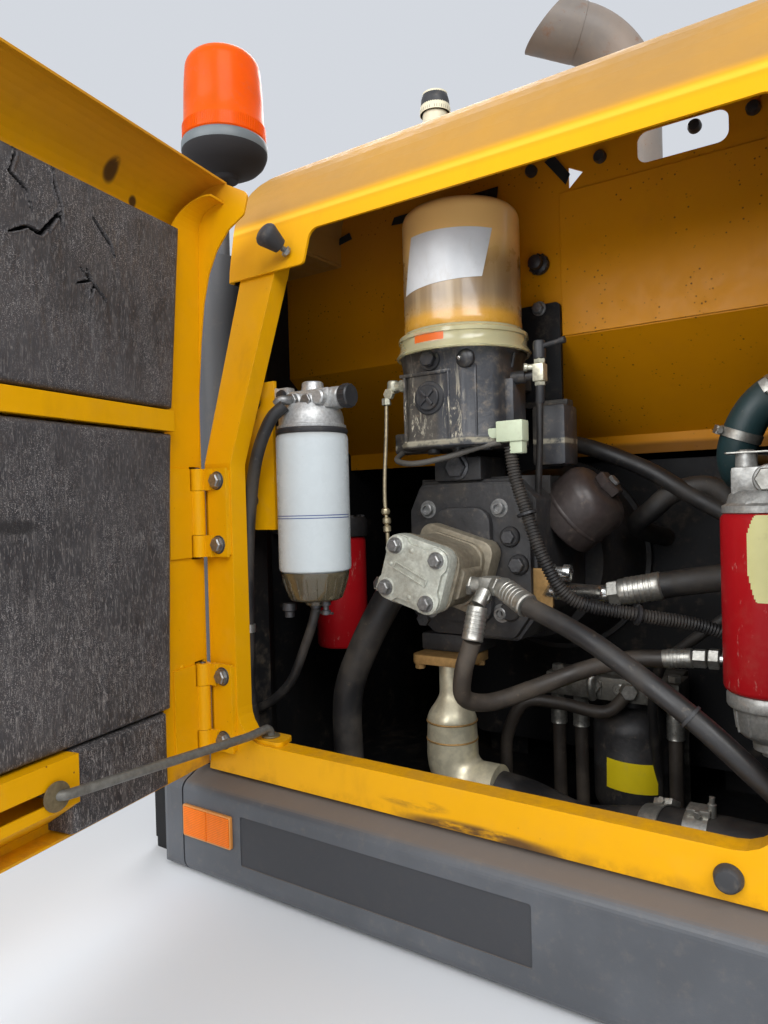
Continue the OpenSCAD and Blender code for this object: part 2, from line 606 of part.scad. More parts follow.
bell_y = 560;
module pump_bell() at_bay() color(dark) {
    translate([pump_x, pump_y1, 270]) rotate([-90, 0, 0]) cylinder(h = bell_y - pump_y1 - 14, r1 = 128,
        r2 = 160);
    translate([pump_x, bell_y - 14, 270]) rotate([-90, 0, 0]) cylinder(h = 14, r = 168);
}
module engine_block() at_bay() color(dark) {
    along_y(bell_y, bay_d - 50) polygon(rounded([[80, -30], [150, -75], [630, -75], [700, -30], [700, 400],
        [670, 430], [110, 430],
        [80, 400]], [10, 10, 10, 10, 10, 10, 10, 10], 3));
    for (x = [130, 570]) translate([x, 640, deck_z]) cube([80, 160, -75 - deck_z]);
}

module accumulator() at_bay() color(dark) translate([470, 451, deck_z])
    rotate_extrude() polygon(concat([[0, 0], [30, 0], [30, 10]], arc([acc_r - 30, 40], 30, -90, 0, 6),
        arc([acc_r - 34, 142], 34, 0, 90, 6), [[18, 176], [18, 190], [0, 190]]));
block_ports = [359, 396, 540];
module valve_block() at_bay() color("#7c7a6a") {
    translate([345, 410, 55]) cube([205, 66, 36]);
    for (x = block_ports) {
        translate([x, 428, 5]) cylinder(h = 50, r = 13);
        translate([x, 428, 91]) cylinder(h = 10, r = 10, $fn = 6);
    }
    translate([500, 470, 85]) cube([40, 50, 6]);
    translate([500, 514, deck_z]) cube([40, 6, 85 - deck_z]);
}
module canister() at_bay() color("#3a2c28") difference() {
    lathe([380, 330, 308], [86, 0, 68],
        [[0, 0], [50, 0], [50, 106], [42, 118], [15, 118], [15, 134], [0, 134]]);
    translate([pump_x0, pump_y - 5, pump_z0]) cube([pump_w, 300, 300]);
}

bend_r = 150;
bend_a = 75;
tip_dir = atan2(-90, -133);
stack_h = 410;
module ring(r, t) difference() {
    circle(r = r);
    circle(r = r - t);
}
module exhaust_stack() at_bay() color("#8a7a68") translate([exhaust_x, exhaust_y, hood_z - 30]) {
    // pipe, bend and tail piece are sleeved into each other by 6 mm
    linear_extrude(stack_h + 6) ring(exhaust_r, 3);
    rotate([0, 0, tip_dir]) translate([0, 0, stack_h]) {
        translate([bend_r, 0, 0]) rotate([90, 0, 0]) rotate_extrude(angle = -bend_a)
            translate([-bend_r, 0]) ring(exhaust_r - 1, 3);
        translate([bend_r * (1 - cos(bend_a)), 0, bend_r * sin(bend_a)]) rotate([0, bend_a, 0])
            difference() {
            translate([0, 0, -6]) linear_extrude(136) ring(exhaust_r, 3);
            translate([0, 0, 62]) rotate([0, -28, 0]) translate([-150, -150, 0]) cube([300, 300, 200]);
        }
    }
}
module breather() at_bay() {
    color("#d8d0b8") translate([111, 509, hood_z + wall_t]) cylinder(h = 300, r = breather_r);
    color(dark) translate([111, 509, hood_z + wall_t + 300]) {
        cylinder(h = 8, r = breather_r + 5);
        translate([0, 0, 8]) cylinder(h = 30, r1 = breather_r + 5, r2 = breather_r);
    }
}

// hose routes, point by point in bay axes
post_route = [[128, 42, 506], [110, 32, 486], [84, 32, 440], [62, 40, 380], [54, 39, 300], [50, 39, 200],
    [46, 42, 110],
    [48, 54, 20], [50, 58, -60], [54, 62, -135]];
bowl_route = [[135, 90, 227], [128, 88, 200], [112, 90, 168], [84, 92, 116], [50, 92, 84], [13, 90, 62]];
feed_route = [[246, 150, 268], [217, 150, 232], [174, 150, 163], [142, 150, 90], [138, 152, 0], [145,
    156, -70], [150, 160, -135]];
diagonal_route = [[446, 112, 240], [500, 95, 222], [550, 80, 200], [640, 62, 146], [706, 60, 92], [752,
    68, 52], [792, 80, 36]];
loop_route = [[368, 115, 190], [354, 116, 150], [346, 132, 112], [366, 170, 100], [410, 220, 114], [460,
    262, 136], [520, 296, 152]];
upper_route = [[300, 390, 400], [308, 396, 446], [390, 415, 456], [499, 420, 414], [583, 420, 361], [700,
    425, 296], [792, 425, 270]];
arch_route = [[506, 560, 330], [502, 500, 336], [524, 445, 352], [574, 432, 372], [622, 436, 346], [646,
    450, 290], [640, 480, 210],
    [630, 560, 170]];
coolant_route = [[792, 300, 520], [740, 300, 512], [680, 300, 480], [652, 304, 430], [650, 340, 396],
    [656, 450, 400], [660, 560, 400]];
delivery_route = [[535, 330, 248], [580, 335, 256], [640, 345, 260], [720, 342, 262], [792, 335, 262]];
acc_route = [[478, 405, 72], [450, 380, 46], [385, 366, 54], [334, 352, 52], [304, 350, 0], [300, 350,
    -60], [300, 350, -135]];
sill_route = [[347, 223, -18], [396, 222, -22], [488, 176, -34], [580, 138, -24], [680, 128, -16], [792,
    128, -16]];
conduit_route = [[392, 193, 440], [396, 196, 400], [412, 196, 350], [434, 196, 289], [466, 214, 236],
    [538, 250, 216], [617, 300, 196],
    [700, 334, 150], [792, 340, 140]];
module filter_hoses() at_bay() color(hose_black) {
    hose(post_route, 9);
    hose(bowl_route, 7);
}
module feed_hose() at_bay() color(hose_black) hose(feed_route, 22, 3, 10);
module diagonal_hose() at_bay() color(hose_black) hose(diagonal_route, 12, 3);
module loop_hose() at_bay() color(hose_black) hose(loop_route, 12, 3);
module delivery_hoses() at_bay() color(hose_black) {
    hose(upper_route, 13, 3);
    hose(arch_route, 17, 3);
    hose(coolant_route, 24, 3, 10);
    hose(delivery_route, 19, 2, 10);
}
module accumulator_hoses() at_bay() color(hose_black) {
    hose(acc_route, 10, 3);
    for (x = block_ports) rod([x, 428, deck_z], [x, 428, 5], 11);
}
module sill_hose() at_bay() color(hose_black) hose(sill_route, 30, 3, 12);
module conduit() at_bay() color(hose_black) hose(conduit_route, 9, 3);
module hose_fittings() at_bay() color(steel) {
    rod([342, 150, 258], [380, 150, 258], 13);
    rod([380, 150, 258], [402, 136, 258], 11);
    rod([402, 136, 258], [446, 112, 240], 15);
    rod([372, 128, 240], [368, 115, 190], 14);
    rod([372, 128, 240], [380, 150, 258], 9);
    rod([412, 315, 232], [464, 322, 240], 13);
    rod([464, 322, 240], [535, 330, 248], 22);
    rod([520, 296, 152], [600, 300, 158], 14);
    rod([600, 300, 158], [792, 300, 158], 8);
}

// section of the door's sheet in (n, z), n measured inward from the hinge axis
skin_n = door_in - door_flange;
top_c = [skin_n + 9 + door_top_r, 752];
skin_line = concat([[skin_n, 8], [skin_n, 430]], arc(top_c, door_top_r, 178, 78, 10));
door_s0 = -16;
door_s1 = door_s0 + door_w;
foam_s1 = door_s1 - 84;
// the inner edge of the side flanges in (n, z), widening at the top to a rounded tip
flange_loop = rounded([skin_line[len(skin_line) - 1], [88, 794], [80, 766], [54, 750], [33, 724],
    [19, 694], [9, 654], [2, 600], [door_in, 520], [door_in, 8]], [0, 9, 9, 20, 30, 40, 60, 60, 40, 0]);
flange_edge = [for (i = [1:len(flange_loop) - 1]) flange_loop[i]];
module door_skin() at_door() color(yellow) {
    along_x(door_s0, door_s1) strip(skin_line, door_t);
    for (s = [door_s0, door_s1 - door_t]) along_x(s, s + door_t) polygon(concat(skin_line, flange_edge));
    translate([door_s0, skin_n, 8]) cube([door_w, door_flange, door_t]);
    translate([door_s1 - 90, skin_n - 9, 330]) cube([60, 6.5, 110]);
}
// the foam's edge on the hinge side, in (s, z), drawing in towards the top
foam_edge = [[82, 0], [60, 480], [42, 745], [6, 806], [-12, 816]];
module door_border() at_door() color(yellow) difference() {
    door_border_solid();
    along_x(door_s0 - 1, door_s1) strip(skin_line, 20);
    translate([door_s0 - 1, skin_n - 20, 0]) cube([door_w + 2, 80, 8 + door_t]);
    for (z = hinge_z) translate([0, 0, z - 3]) cylinder(h = hinge_h + 6, r = knuckle_r + 2);
}
module door_border_solid() {
    intersection() {
        along_x(door_s0 + door_t, 90)
            polygon(concat(aside(skin_line, 3 - door_flange), backward(aside(skin_line, -door_flange))));
        along_y(-60, 200) polygon(concat([[door_s0, 816], [door_s0, 0]], foam_edge));
    }
    along_x(foam_s1 + 1, door_s1 - door_t)
        polygon(concat(aside(skin_line, 3 - door_flange), backward(aside(skin_line, -door_flange))));
    difference() {
        translate([60, skin_n, 470]) cube([foam_s1 + 2 - 60, door_flange + foam_proud + 3, 27]);
        translate([62, skin_n - 1, 473]) cube([foam_s1 - 62, door_flange + foam_proud + 1, 21]);
    }
}
foam_line = [[skin_n, 8], [skin_n, 430], [skin_n + 8.9, 741]];
module door_foam() at_door() color("#2c2a2c") {
    for (span = [[500, 741], [110, 467]]) intersection() {
        along_x(30, foam_s1) strip(foam_line, -door_flange - foam_proud);
        translate([0, -100, span[0]]) cube([door_w, 200, span[1] - span[0]]);
        along_y(-60, 60)
            polygon(concat([[door_s1, 745], [door_s1, 0]], [for (k = [0:2]) foam_edge[k] + [1, 0]]));
    }
    translate([84, skin_n, 14]) cube([156, door_flange + foam_proud, 93]);
}
rail_n = 18;
slot_s0 = 266;
slot_s1 = 408;
module stay_rail() at_door() color(yellow) difference() {
    along_x(243, 470) {
        strip([[skin_n, 104], [rail_n, 104], [rail_n, 56], [skin_n, 24]], 3);
    }
    translate([0, rail_n - 10, stay_far[2] - slot_h / 2]) {
        translate([slot_s0 + slot_h / 2, 0, 0]) cube([slot_s1 - slot_s0 - slot_h, 30, slot_h]);
        for (s = [slot_s0 + slot_h / 2, slot_s1 - slot_h / 2])
            translate([s, 0, slot_h / 2]) rotate([-90, 0, 0]) cylinder(h = 30, r = slot_h / 2);
    }
}

deck_plate();
door_frame();
roof_cap();
inner_panel();
hood_deck();
left_bulkhead();
right_bulkhead();
back_wall();
skirt();
skirt_end();
skirt_reflector();
corner_pillar();
beacon_base();
beacon_lens();
hinge_frame_leaves();
stay_tab();
rubber_stops();
filter_bracket();
filter_head();
filter_can();
filter_bowl();
rear_filter();
red_filter_head();
red_filter_can();
red_filter_base();
grease_plate();
grease_body();
grease_collar();
grease_reservoir();
grease_fittings();
main_pump();
gear_pump_body();
gear_pump_cover();
hose_fittings();
suction_flange();
suction_pipe();
pump_bell();
engine_block();
accumulator();
valve_block();
canister();
exhaust_stack();
breather();
filter_hoses();
feed_hose();
diagonal_hose();
loop_hose();
delivery_hoses();
accumulator_hoses();
sill_hose();
conduit();
door_skin();
door_border();
door_foam();
door_hinge_leaves();
stay_rail();
stay_rod();
beacon_rotor();
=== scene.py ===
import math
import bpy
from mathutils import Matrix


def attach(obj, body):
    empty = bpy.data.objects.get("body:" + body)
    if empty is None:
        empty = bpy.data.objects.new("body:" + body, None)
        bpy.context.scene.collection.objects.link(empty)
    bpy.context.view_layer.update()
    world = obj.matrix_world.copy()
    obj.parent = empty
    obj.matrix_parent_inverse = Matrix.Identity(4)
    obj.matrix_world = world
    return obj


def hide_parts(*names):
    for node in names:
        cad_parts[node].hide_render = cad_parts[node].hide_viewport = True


bl_info = {
    "name": "Service Bay",
    "version": (1, 0, 0),
    "blender": (4, 5, 0),
    "location": "3D View > Sidebar > Service Bay",
    "description": "Finishes a machine's side service bay with its hinged door, pumps, filters and hoses",
    "category": "Object",
}

import bmesh
import bpy
from mathutils import Matrix, Vector, noise

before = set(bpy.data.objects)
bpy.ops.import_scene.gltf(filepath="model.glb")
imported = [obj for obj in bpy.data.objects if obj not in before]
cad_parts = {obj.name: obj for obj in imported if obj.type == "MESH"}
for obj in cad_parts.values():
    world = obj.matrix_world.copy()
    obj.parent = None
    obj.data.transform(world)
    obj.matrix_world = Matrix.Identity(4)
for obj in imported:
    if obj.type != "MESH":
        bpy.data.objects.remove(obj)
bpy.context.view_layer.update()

# The bay's axes have their origin at the sill's hinge-side corner; these take them to the row frame, in mm.
BAY_ORIGIN = Vector((330, 484, -150))
HINGE = Vector((14, -15, 0))
DOOR_OPEN = math.radians(79.6)
DOOR_ALONG = Vector((math.cos(DOOR_OPEN), -math.sin(DOOR_OPEN), 0))
DOOR_INWARD = Vector((math.sin(DOOR_OPEN), math.cos(DOOR_OPEN), 0))
UP = Vector((0, 0, 1))
FRONT = Vector((0, -1, 0))
RIGHT = Vector((1, 0, 0))
MM = 0.001

# Hoses end in the right bulkhead at this x, and in the deck plate at this z.
RIGHT_END = 791.6
DECK_END = -134.8


def bay_point(p):
    """A point in the bay's millimetres as row metres."""
    return (Vector(p) - BAY_ORIGIN) * MM


def door_point(p):
    """A point along, inward of and up the door, in millimetres, as row metres."""
    s, n, z = p
    return bay_point(HINGE + DOOR_ALONG * s + DOOR_INWARD * n + UP * z)


def axes_of(body):
    """The point map of a body: the door has its own axes."""
    return door_point if body == "door" else bay_point


def shade(colour, factor, lift=0.0):
    """A colour made darker or lighter."""
    return tuple(min(c * factor + lift, 1) for c in colour)


# ---------------------------------------------------------------- shader maths


class Value:
    """A shader socket that takes part in Python sums."""

    def __init__(self, graph, socket):
        self.graph = graph
        self.socket = socket

    def _sum(self, operation, a, b):
        return self.graph.add("ShaderNodeMath", {"operation": operation}, {0: a, 1: b})

    def __add__(self, other):
        return self._sum("ADD", self, other)

    def __sub__(self, other):
        return self._sum("SUBTRACT", self, other)

    def __mul__(self, other):
        return self._sum("MULTIPLY", self, other)

    def __truediv__(self, other):
        return self._sum("DIVIDE", self, other)

    def __pow__(self, other):
        return self._sum("POWER", self, other)

    def most(self, other):
        return self._sum("MAXIMUM", self, other)

    def size(self):
        return self._sum("ABSOLUTE", self, 0)


class Graph:
    """The node tree of one material, built from Python expressions."""

    def __init__(self, name):
        self.material = bpy.data.materials.new(name)
        self.material.use_nodes = True
        self.tree = self.material.node_tree
        self.tree.nodes.clear()
        self.coordinates = self.add("ShaderNodeTexCoord", {}, {}, "Object")

    def add(self, kind, settings, sockets, output=0):
        """One node: settings first, then values or links, keyed by the socket's name or number."""
        node = self.tree.nodes.new(kind)
        for key, value in settings.items():
            setattr(node, key, value)
        for key, value in sockets.items():
            if isinstance(value, Value):
                self.tree.links.new(value.socket, node.inputs[key])
            else:
                socket = node.inputs[key]
                if hasattr(value, "__len__") and len(value) == 3 and socket.type == "RGBA":
                    value = (*value, 1)
                socket.default_value = value
        return Value(self, node.outputs[output]) if len(node.outputs) else None

    def stretched(self, scale):
        """Object coordinates, scaled along each axis."""
        return self.add("ShaderNodeMapping", {}, {"Vector": self.coordinates, "Scale": scale})

    def noise(self, scale, detail=4, rough=0.55, stretch=(1, 1, 1), warp=0):
        sockets = {"Vector": self.stretched(stretch), "Scale": scale, "Detail": detail, "Roughness": rough}
        return self.add("ShaderNodeTexNoise", {}, {**sockets, "Distortion": warp}, "Fac")

    def cells(self, scale, stretch=(1, 1, 1), random=1):
        sockets = {"Vector": self.stretched(stretch), "Scale": scale, "Randomness": random}
        return self.add("ShaderNodeTexVoronoi", {}, sockets, "Distance")

    def band(self, value, low, high, start=0, end=1):
        """start below low, end above high, smooth between."""
        return self.add("ShaderNodeMapRange", {"interpolation_type": "SMOOTHSTEP"},
            {0: value, 1: low, 2: high, 3: start, 4: end})

    def fall(self, value, low, high):
        """1 below low, 0 above high."""
        return self.band(value, low, high, 1, 0)

    def mix(self, share, a, b):
        return self.add("ShaderNodeMix", {"data_type": "RGBA"}, {0: share, 6: a, 7: b}, 2)

    def layered(self, layers, fine, cloud, tone, rough, base):
        """Lays a piece's own marks, each a mask, a colour and a roughness, over its tone and roughness."""
        for mask, colour, layer_rough in layers(self, fine, cloud) if layers else ():
            tone = self.mix(mask, tone, colour)
            rough = rough + mask * (layer_rough - base)
        return tone, rough

    def bay_axes(self):
        """x, y and z in the bay's millimetres."""
        split = self.add("ShaderNodeSeparateXYZ", {}, {0: self.coordinates})
        outs = split.socket.node.outputs
        return [Value(self, outs[i]) * 1000 + BAY_ORIGIN[i] for i in range(3)]

    def door_axes(self):
        """Along, inward of and up the door, in millimetres."""
        x, y, z = self.bay_axes()
        dx, dy = x - HINGE.x, y - HINGE.y
        return (dx * DOOR_ALONG.x + dy * DOOR_ALONG.y, dx * DOOR_INWARD.x + dy * DOOR_INWARD.y, z)

    def spot(self, at, centre, radii):
        """1 in the middle of a spot, 0 outside it; at and centre are in the same axes."""
        total = None
        for value, c, r in zip(at, centre, radii):
            if r:
                part = ((value - c) / r) ** 2
                total = part if total is None else total + part
        return self.fall(total, 0.25, 1)

    def bump(self, height, distance, strength=1, soft_edge=0):
        sockets = {"Strength": strength, "Distance": distance, "Height": height}
        if soft_edge:
            sockets["Normal"] = self.add("ShaderNodeBevel", {"samples": 4}, {"Radius": soft_edge}, "Normal")
        return self.add("ShaderNodeBump", {}, sockets, "Normal")

    def finish(self, colour, roughness, metallic=0, normal=None, **constants):
        """The closing Principled shader; constants are socket names with _ for spaces."""
        sockets = {"Base Color": colour, "Roughness": roughness, "Metallic": metallic}
        if normal is not None:
            sockets["Normal"] = normal
        sockets.update({k.replace("_", " "): v for k, v in constants.items()})
        shader = self.add("ShaderNodeBsdfPrincipled", {}, sockets)
        self.add("ShaderNodeOutputMaterial", {}, {"Surface": shader})
        return self.material


RUST = (0.16, 0.055, 0.018)
DUST = (0.30, 0.235, 0.165)
GRIME = (0.035, 0.026, 0.018)


def painted(name, colour, grime=0.35, dust=0.15, specks=0.25, roughness=0.36, layers=None, soft_edge=0.0012,
        gloss=0.14):
    """Gloss paint on sheet metal: uneven grime, dust, small chips, and a piece's own marks as layers."""
    g = Graph(name)
    cloud = g.noise(2.6, 6, 0.6)
    fine = g.noise(38, 6, 0.65)
    tone = g.mix(g.band(cloud, 0.35, 0.7) * 0.30, colour, shade(colour, 0.72))
    tone = g.mix(g.band(g.noise(9, 8, 0.65, (1, 1, 0.35)), 0.52, 0.78) * grime, tone, GRIME)
    tone = g.mix(g.band(fine * 0.6 + cloud * 0.4, 0.5, 0.72) * dust, tone, DUST)
    chips = g.fall(g.cells(70), 0.05, 0.09) * g.band(g.noise(11, 3), 0.52, 0.62)
    tone = g.mix(chips * specks, tone, RUST)
    rough = g.band(fine, 0.35, 0.75, roughness - 0.05, roughness + 0.16)
    height = fine * 0.25 - chips * specks
    tone, rough = g.layered(layers, fine, cloud, tone, rough, roughness)
    return g.finish(tone, rough, normal=g.bump(height, 0.0006, 0.35, soft_edge), Specular_IOR_Level=gloss,
        Coat_Weight=0.03, Coat_Roughness=0.2)


def cast_metal(name, colour, metallic=0, roughness=0.55, dirt=0.6, grain=220, dirt_colour=GRIME, depth=0.0006):
    """Cast or bare metal with a grainy skin and dirt lying in its hollows."""
    g = Graph(name)
    skin = g.noise(grain, 4, 0.6)
    patches = g.noise(16, 6, 0.65)
    tone = g.mix(g.band(skin, 0.3, 0.75), shade(colour, 0.8), shade(colour, 1.15))
    tone = g.mix(g.band(patches, 0.46, 0.7) * dirt, tone, dirt_colour)
    dusty = g.band(g.noise(60, 6, 0.7), 0.55, 0.8) * 0.35
    tone = g.mix(dusty, tone, DUST)
    rough = g.band(patches, 0.4, 0.7, roughness, min(roughness + 0.25, 0.95))
    return g.finish(tone, rough, metallic, g.bump(skin * 0.7 + patches, depth, 0.5))


def worn_casting(name):
    """The grease pump's black casting, with pale scratches and dust on its front."""
    g = Graph(name)
    x, y, z = g.bay_axes()
    skin = g.noise(150, 4, 0.6)
    patches = g.noise(14, 6, 0.65)
    tone = g.mix(g.band(patches, 0.35, 0.7), (0.024, 0.022, 0.022), (0.075, 0.066, 0.055))
    tone = g.mix(g.band(x - y * 0.9, 142, 152) * 0.6, tone, (0.052, 0.057, 0.068))
    scratches = g.band(g.noise(85, 6, 0.8, (1, 1, 0.22), 1.4), 0.53, 0.60)
    zone = g.band(z, 448, 462) * g.band(z, 500, 560, 1, 0.15) * g.band(y, 168, 176, 1, 0.1)
    zone = zone * g.band((x - 288).size(), 6, 26, 0.3, 1) * g.fall(x, 325, 342)
    tone = g.mix(scratches * zone, tone, (0.52, 0.47, 0.36))
    ledge = g.band(z, 446, 449) * g.fall(z, 453, 456) * g.band(g.noise(30, 5, 0.7), 0.4, 0.55)
    tone = g.mix(ledge * 0.8, tone, (0.42, 0.38, 0.28))
    dusty = g.band(g.noise(60, 6, 0.7), 0.5, 0.78) * 0.5
    tone = g.mix(dusty, tone, DUST)
    return g.finish(tone, g.band(patches, 0.35, 0.7, 0.34, 0.62), 0.1, g.bump(skin * 0.7 + patches, 0.001, 0.5))


def hose_rubber(name, colour, dust):
    """Hose cover with a fine wrapped texture and dust."""
    g = Graph(name)
    wrap = g.noise(420, 2, 0.5)
    patches = g.noise(13, 6, 0.65)
    tone = g.mix(g.band(patches, 0.4, 0.72) * dust, colour, tuple(c * 0.55 + d * 0.35 for c, d in zip(colour, DUST)))
    tone = g.mix(g.band(g.noise(90, 4, 0.7), 0.6, 0.8) * 0.3, tone, DUST)
    rough = g.band(patches, 0.35, 0.7, 0.42, 0.72)
    return g.finish(tone, rough, normal=g.bump(wrap, 0.0003, 0.4))


def foam_skin(name):
    """Sound-proofing foam with a worn film skin, scratched and dusted from top to bottom."""
    g = Graph(name)
    s, n, z = g.door_axes()
    streaks = g.noise(190, 5, 0.75, (1, 1, 0.16))
    fibres = g.noise(520, 3, 0.7, (1, 1, 0.22))
    cloud = g.noise(5, 6, 0.6)
    tone = g.mix(g.band(cloud, 0.3, 0.72), (0.022, 0.0205, 0.023), (0.048, 0.044, 0.047))
    tone = g.mix(g.band(streaks, 0.50, 0.68) * g.band(z, 120, 480, 0.75, 0.35), tone, (0.155, 0.137, 0.128))
    tone = g.mix(g.band(fibres, 0.55, 0.63) * g.band(z, 60, 470, 0.9, 0.4), tone, (0.27, 0.245, 0.23))
    tone = g.mix(g.fall(g.cells(150, stretch=(1, 1, 0.6)), 0.06, 0.16) * 0.5, tone, (0.24, 0.21, 0.19))
    tone = g.mix(g.band(g.noise(800, 2, 0.6), 0.58, 0.64) * g.band(g.noise(12, 4, 0.6), 0.38, 0.58) * 0.9, tone,
        (0.33, 0.30, 0.29))
    mottle = g.band(g.cells(46, stretch=(1, 1, 0.7)), 0.1, 0.75)
    tone = g.mix(mottle * 0.25, tone, (0.085, 0.076, 0.074))
    crack = g.add("ShaderNodeAttribute", {"attribute_name": "crack"}, {}, "Fac")
    tone = g.mix(g.band(crack, -0.9, -0.05) * g.fall(crack, 0.02, 0.2) * 0.4, tone, (0.20, 0.18, 0.175))
    tone = g.mix(g.band(crack, 0.22, 0.55), tone, (0.004, 0.004, 0.004))
    smear = g.spot((s, z), (303, 354), (34, 9))
    tone = g.mix(smear * 0.75, tone, (0.012, 0.011, 0.012))
    rough = g.band(streaks, 0.35, 0.75, 0.5, 0.85)
    height = g.noise(150, 5, 0.7) * 0.6 + streaks * 0.4
    return g.finish(tone, rough, normal=g.bump(height, 0.0011, 0.6))


def moulded(name, colour, roughness=0.5, grain=900, dust=0.3, layers=None):
    """Moulded plastic or rubber with a fine grain."""
    g = Graph(name)
    skin = g.noise(grain, 3, 0.6)
    cloud = g.noise(7, 6, 0.6)
    tone = g.mix(g.band(cloud, 0.35, 0.7), colour, shade(colour, 1.3, 0.004))
    tone = g.mix(g.band(g.noise(55, 6, 0.7), 0.5, 0.8) * dust, tone, DUST)
    rough = g.band(cloud, 0.35, 0.7, roughness, min(roughness + 0.18, 0.95))
    tone, rough = g.layered(layers, skin, cloud, tone, rough, roughness)
    return g.finish(tone, rough, normal=g.bump(skin, 0.0003, 0.35))


# ---------------------------------------------------------------- mesh building


def side_of(direction):
    """Two directions square to the given one."""
    w = Vector(direction).normalized()
    u = w.orthogonal().normalized() if abs(w.z) > 0.9 else UP.cross(w).normalized()
    return u, w.cross(u)


def ring_faces(rings, n):
    """Faces of a closed stack of rings with n points each."""
    faces = [[i * n + k, i * n + (k + 1) % n, (i + 1) * n + (k + 1) % n, (i + 1) * n + k] for i in range(rings - 1)
        for k in range(n)]
    return faces + [list(range(n))[::-1], [(rings - 1) * n + k for k in range(n)]]


def sheet_faces(across, high, flip=False):
    """Faces of a closed sheet: two grids of points, one behind the other, and the rim between them."""
    size = across * high
    faces = []
    for j in range(high - 1):
        for i in range(across - 1):
            a = j * across + i
            near, far = [a, a + 1, a + across + 1, a + across], [a, a + across, a + across + 1, a + 1]
            if flip:
                near, far = far, near
            faces += [near, [k + size for k in far]]
    ring = list(range(across)) + [j * across + across - 1 for j in range(1, high)]
    ring += [(high - 1) * across + i for i in range(across - 2, -1, -1)] + [j * across for j in range(high - 2, 0, -1)]
    pairs = zip(ring[1:] + ring[:1], ring) if flip else zip(ring, ring[1:] + ring[:1])
    return faces + [[b, a, a + size, b + size] for a, b in pairs]


class Shape:
    """Points and faces of one piece, in millimetres of the bay's or the door's axes."""

    def __init__(self):
        self.points = []
        self.faces = []

    def add(self, points, faces):
        base = len(self.points)
        self.points += [Vector(p) for p in points]
        self.faces += [[i + base for i in face] for face in faces]
        return self

    def turned(self, start, axis, profile, sides=40):
        """A turned form: profile holds (radius, distance along the axis) pairs, and may close on itself."""
        w = Vector(axis).normalized()
        u, v = side_of(w)
        start = Vector(start)
        points, rings, faces = [], [], []
        for radius, along in profile:
            if radius <= 0:
                rings.append([len(points)])
                points.append(start + w * along)
            else:
                rings.append(list(range(len(points), len(points) + sides)))
                for k in range(sides):
                    a = 2 * math.pi * k / sides
                    points.append(start + w * along + (u * math.cos(a) + v * math.sin(a)) * radius)
        for low, high in zip(rings, rings[1:]):
            for k in range(sides):
                j = (k + 1) % sides
                if len(low) > 1 and len(high) > 1:
                    faces.append([low[k], low[j], high[j], high[k]])
                elif len(high) > 1:
                    faces.append([low[0], high[j], high[k]])
                elif len(low) > 1:
                    faces.append([low[k], low[j], high[0]])
        if profile[0] != profile[-1]:
            faces += [ring for ring in (rings[0][::-1], rings[-1]) if len(ring) > 1]
        return self.add(points, faces)

    def swept(self, path, radius, sides=16):
        """A round bar along a path; radius is a number or one for each point."""
        path = [Vector(p) for p in path]
        radii = radius if hasattr(radius, "__len__") else [radius] * len(path)
        headings = [(path[min(i + 1, len(path) - 1)] - path[max(i - 1, 0)]).normalized() for i in range(len(path))]
        u = side_of(headings[0])[0]
        points = []
        for p, t, r in zip(path, headings, radii):
            u = (u - t * u.dot(t)).normalized()
            v = t.cross(u)
            points += [p + (u * math.cos(2 * math.pi * k / sides) + v * math.sin(2 * math.pi * k / sides)) * r
                for k in range(sides)]
        return self.add(points, ring_faces(len(path), sides))

    def block(self, low, high, bevel=1.0, turn=None, about=None):
        """A box between two corners with softened edges, turned by a matrix about a point."""
        low, high = Vector(low), Vector(high)
        work = bmesh.new()
        bmesh.ops.create_cube(work, size=1.0)
        middle, size = (low + high) / 2, high - low
        for vert in work.verts:
            vert.co = Vector((vert.co.x * size.x, vert.co.y * size.y, vert.co.z * size.z)) + middle
        if bevel:
            bmesh.ops.bevel(work, geom=work.edges[:], offset=bevel, segments=2, profile=0.6, affect="EDGES")
        return self.absorb(work, turn, about if about is not None else middle)

    def plate(self, outline, origin, across, upward, thickness, bevel=0.6):
        """A flat plate: the outline's 2-D points lie along across and upward, and it is thick along their cross."""
        across, upward = Vector(across).normalized(), Vector(upward).normalized()
        out = across.cross(upward)
        origin = Vector(origin)
        work = bmesh.new()
        base = [work.verts.new(origin + across * a + upward * b) for a, b in outline]
        face = work.faces.new(base)
        grown = bmesh.ops.extrude_face_region(work, geom=[face])["geom"]
        for vert in [g for g in grown if isinstance(g, bmesh.types.BMVert)]:
            vert.co += out * thickness
        bmesh.ops.recalc_face_normals(work, faces=work.faces)
        if bevel:
            rim = [e for e in work.edges if e.is_manifold and e.calc_face_angle(0) > 0.7]
            bmesh.ops.bevel(work, geom=rim, offset=bevel, segments=2, profile=0.6, affect="EDGES")
        return self.absorb(work)

    def absorb(self, work, turn=None, about=None):
        work.verts.ensure_lookup_table()
        places = [v.co.copy() for v in work.verts]
        if turn is not None:
            places = [turn @ (p - Vector(about)) + Vector(about) for p in places]
        self.add(places, [[v.index for v in face.verts] for face in work.faces])
        work.free()
        return self


def smooth_path(points, steps=8):
    """A smooth line through points, as the part's own hose routes run."""
    p = [Vector(q) for q in points]
    line = []
    for i in range(len(p) - 1):
        a = p[i - 1] if i else p[0] * 2 - p[1]
        b, c = p[i], p[i + 1]
        d = p[i + 2] if i + 2 < len(p) else c * 2 - b
        for k in range(steps):
            t = k / steps
            line.append(0.5 * (b * 2 + (c - a) * t + (a * 2 - b * 5 + c * 4 - d) * t * t + (b * 3 - a - c * 3 + d) * t
                * t * t))
    line.append(p[-1])
    return line


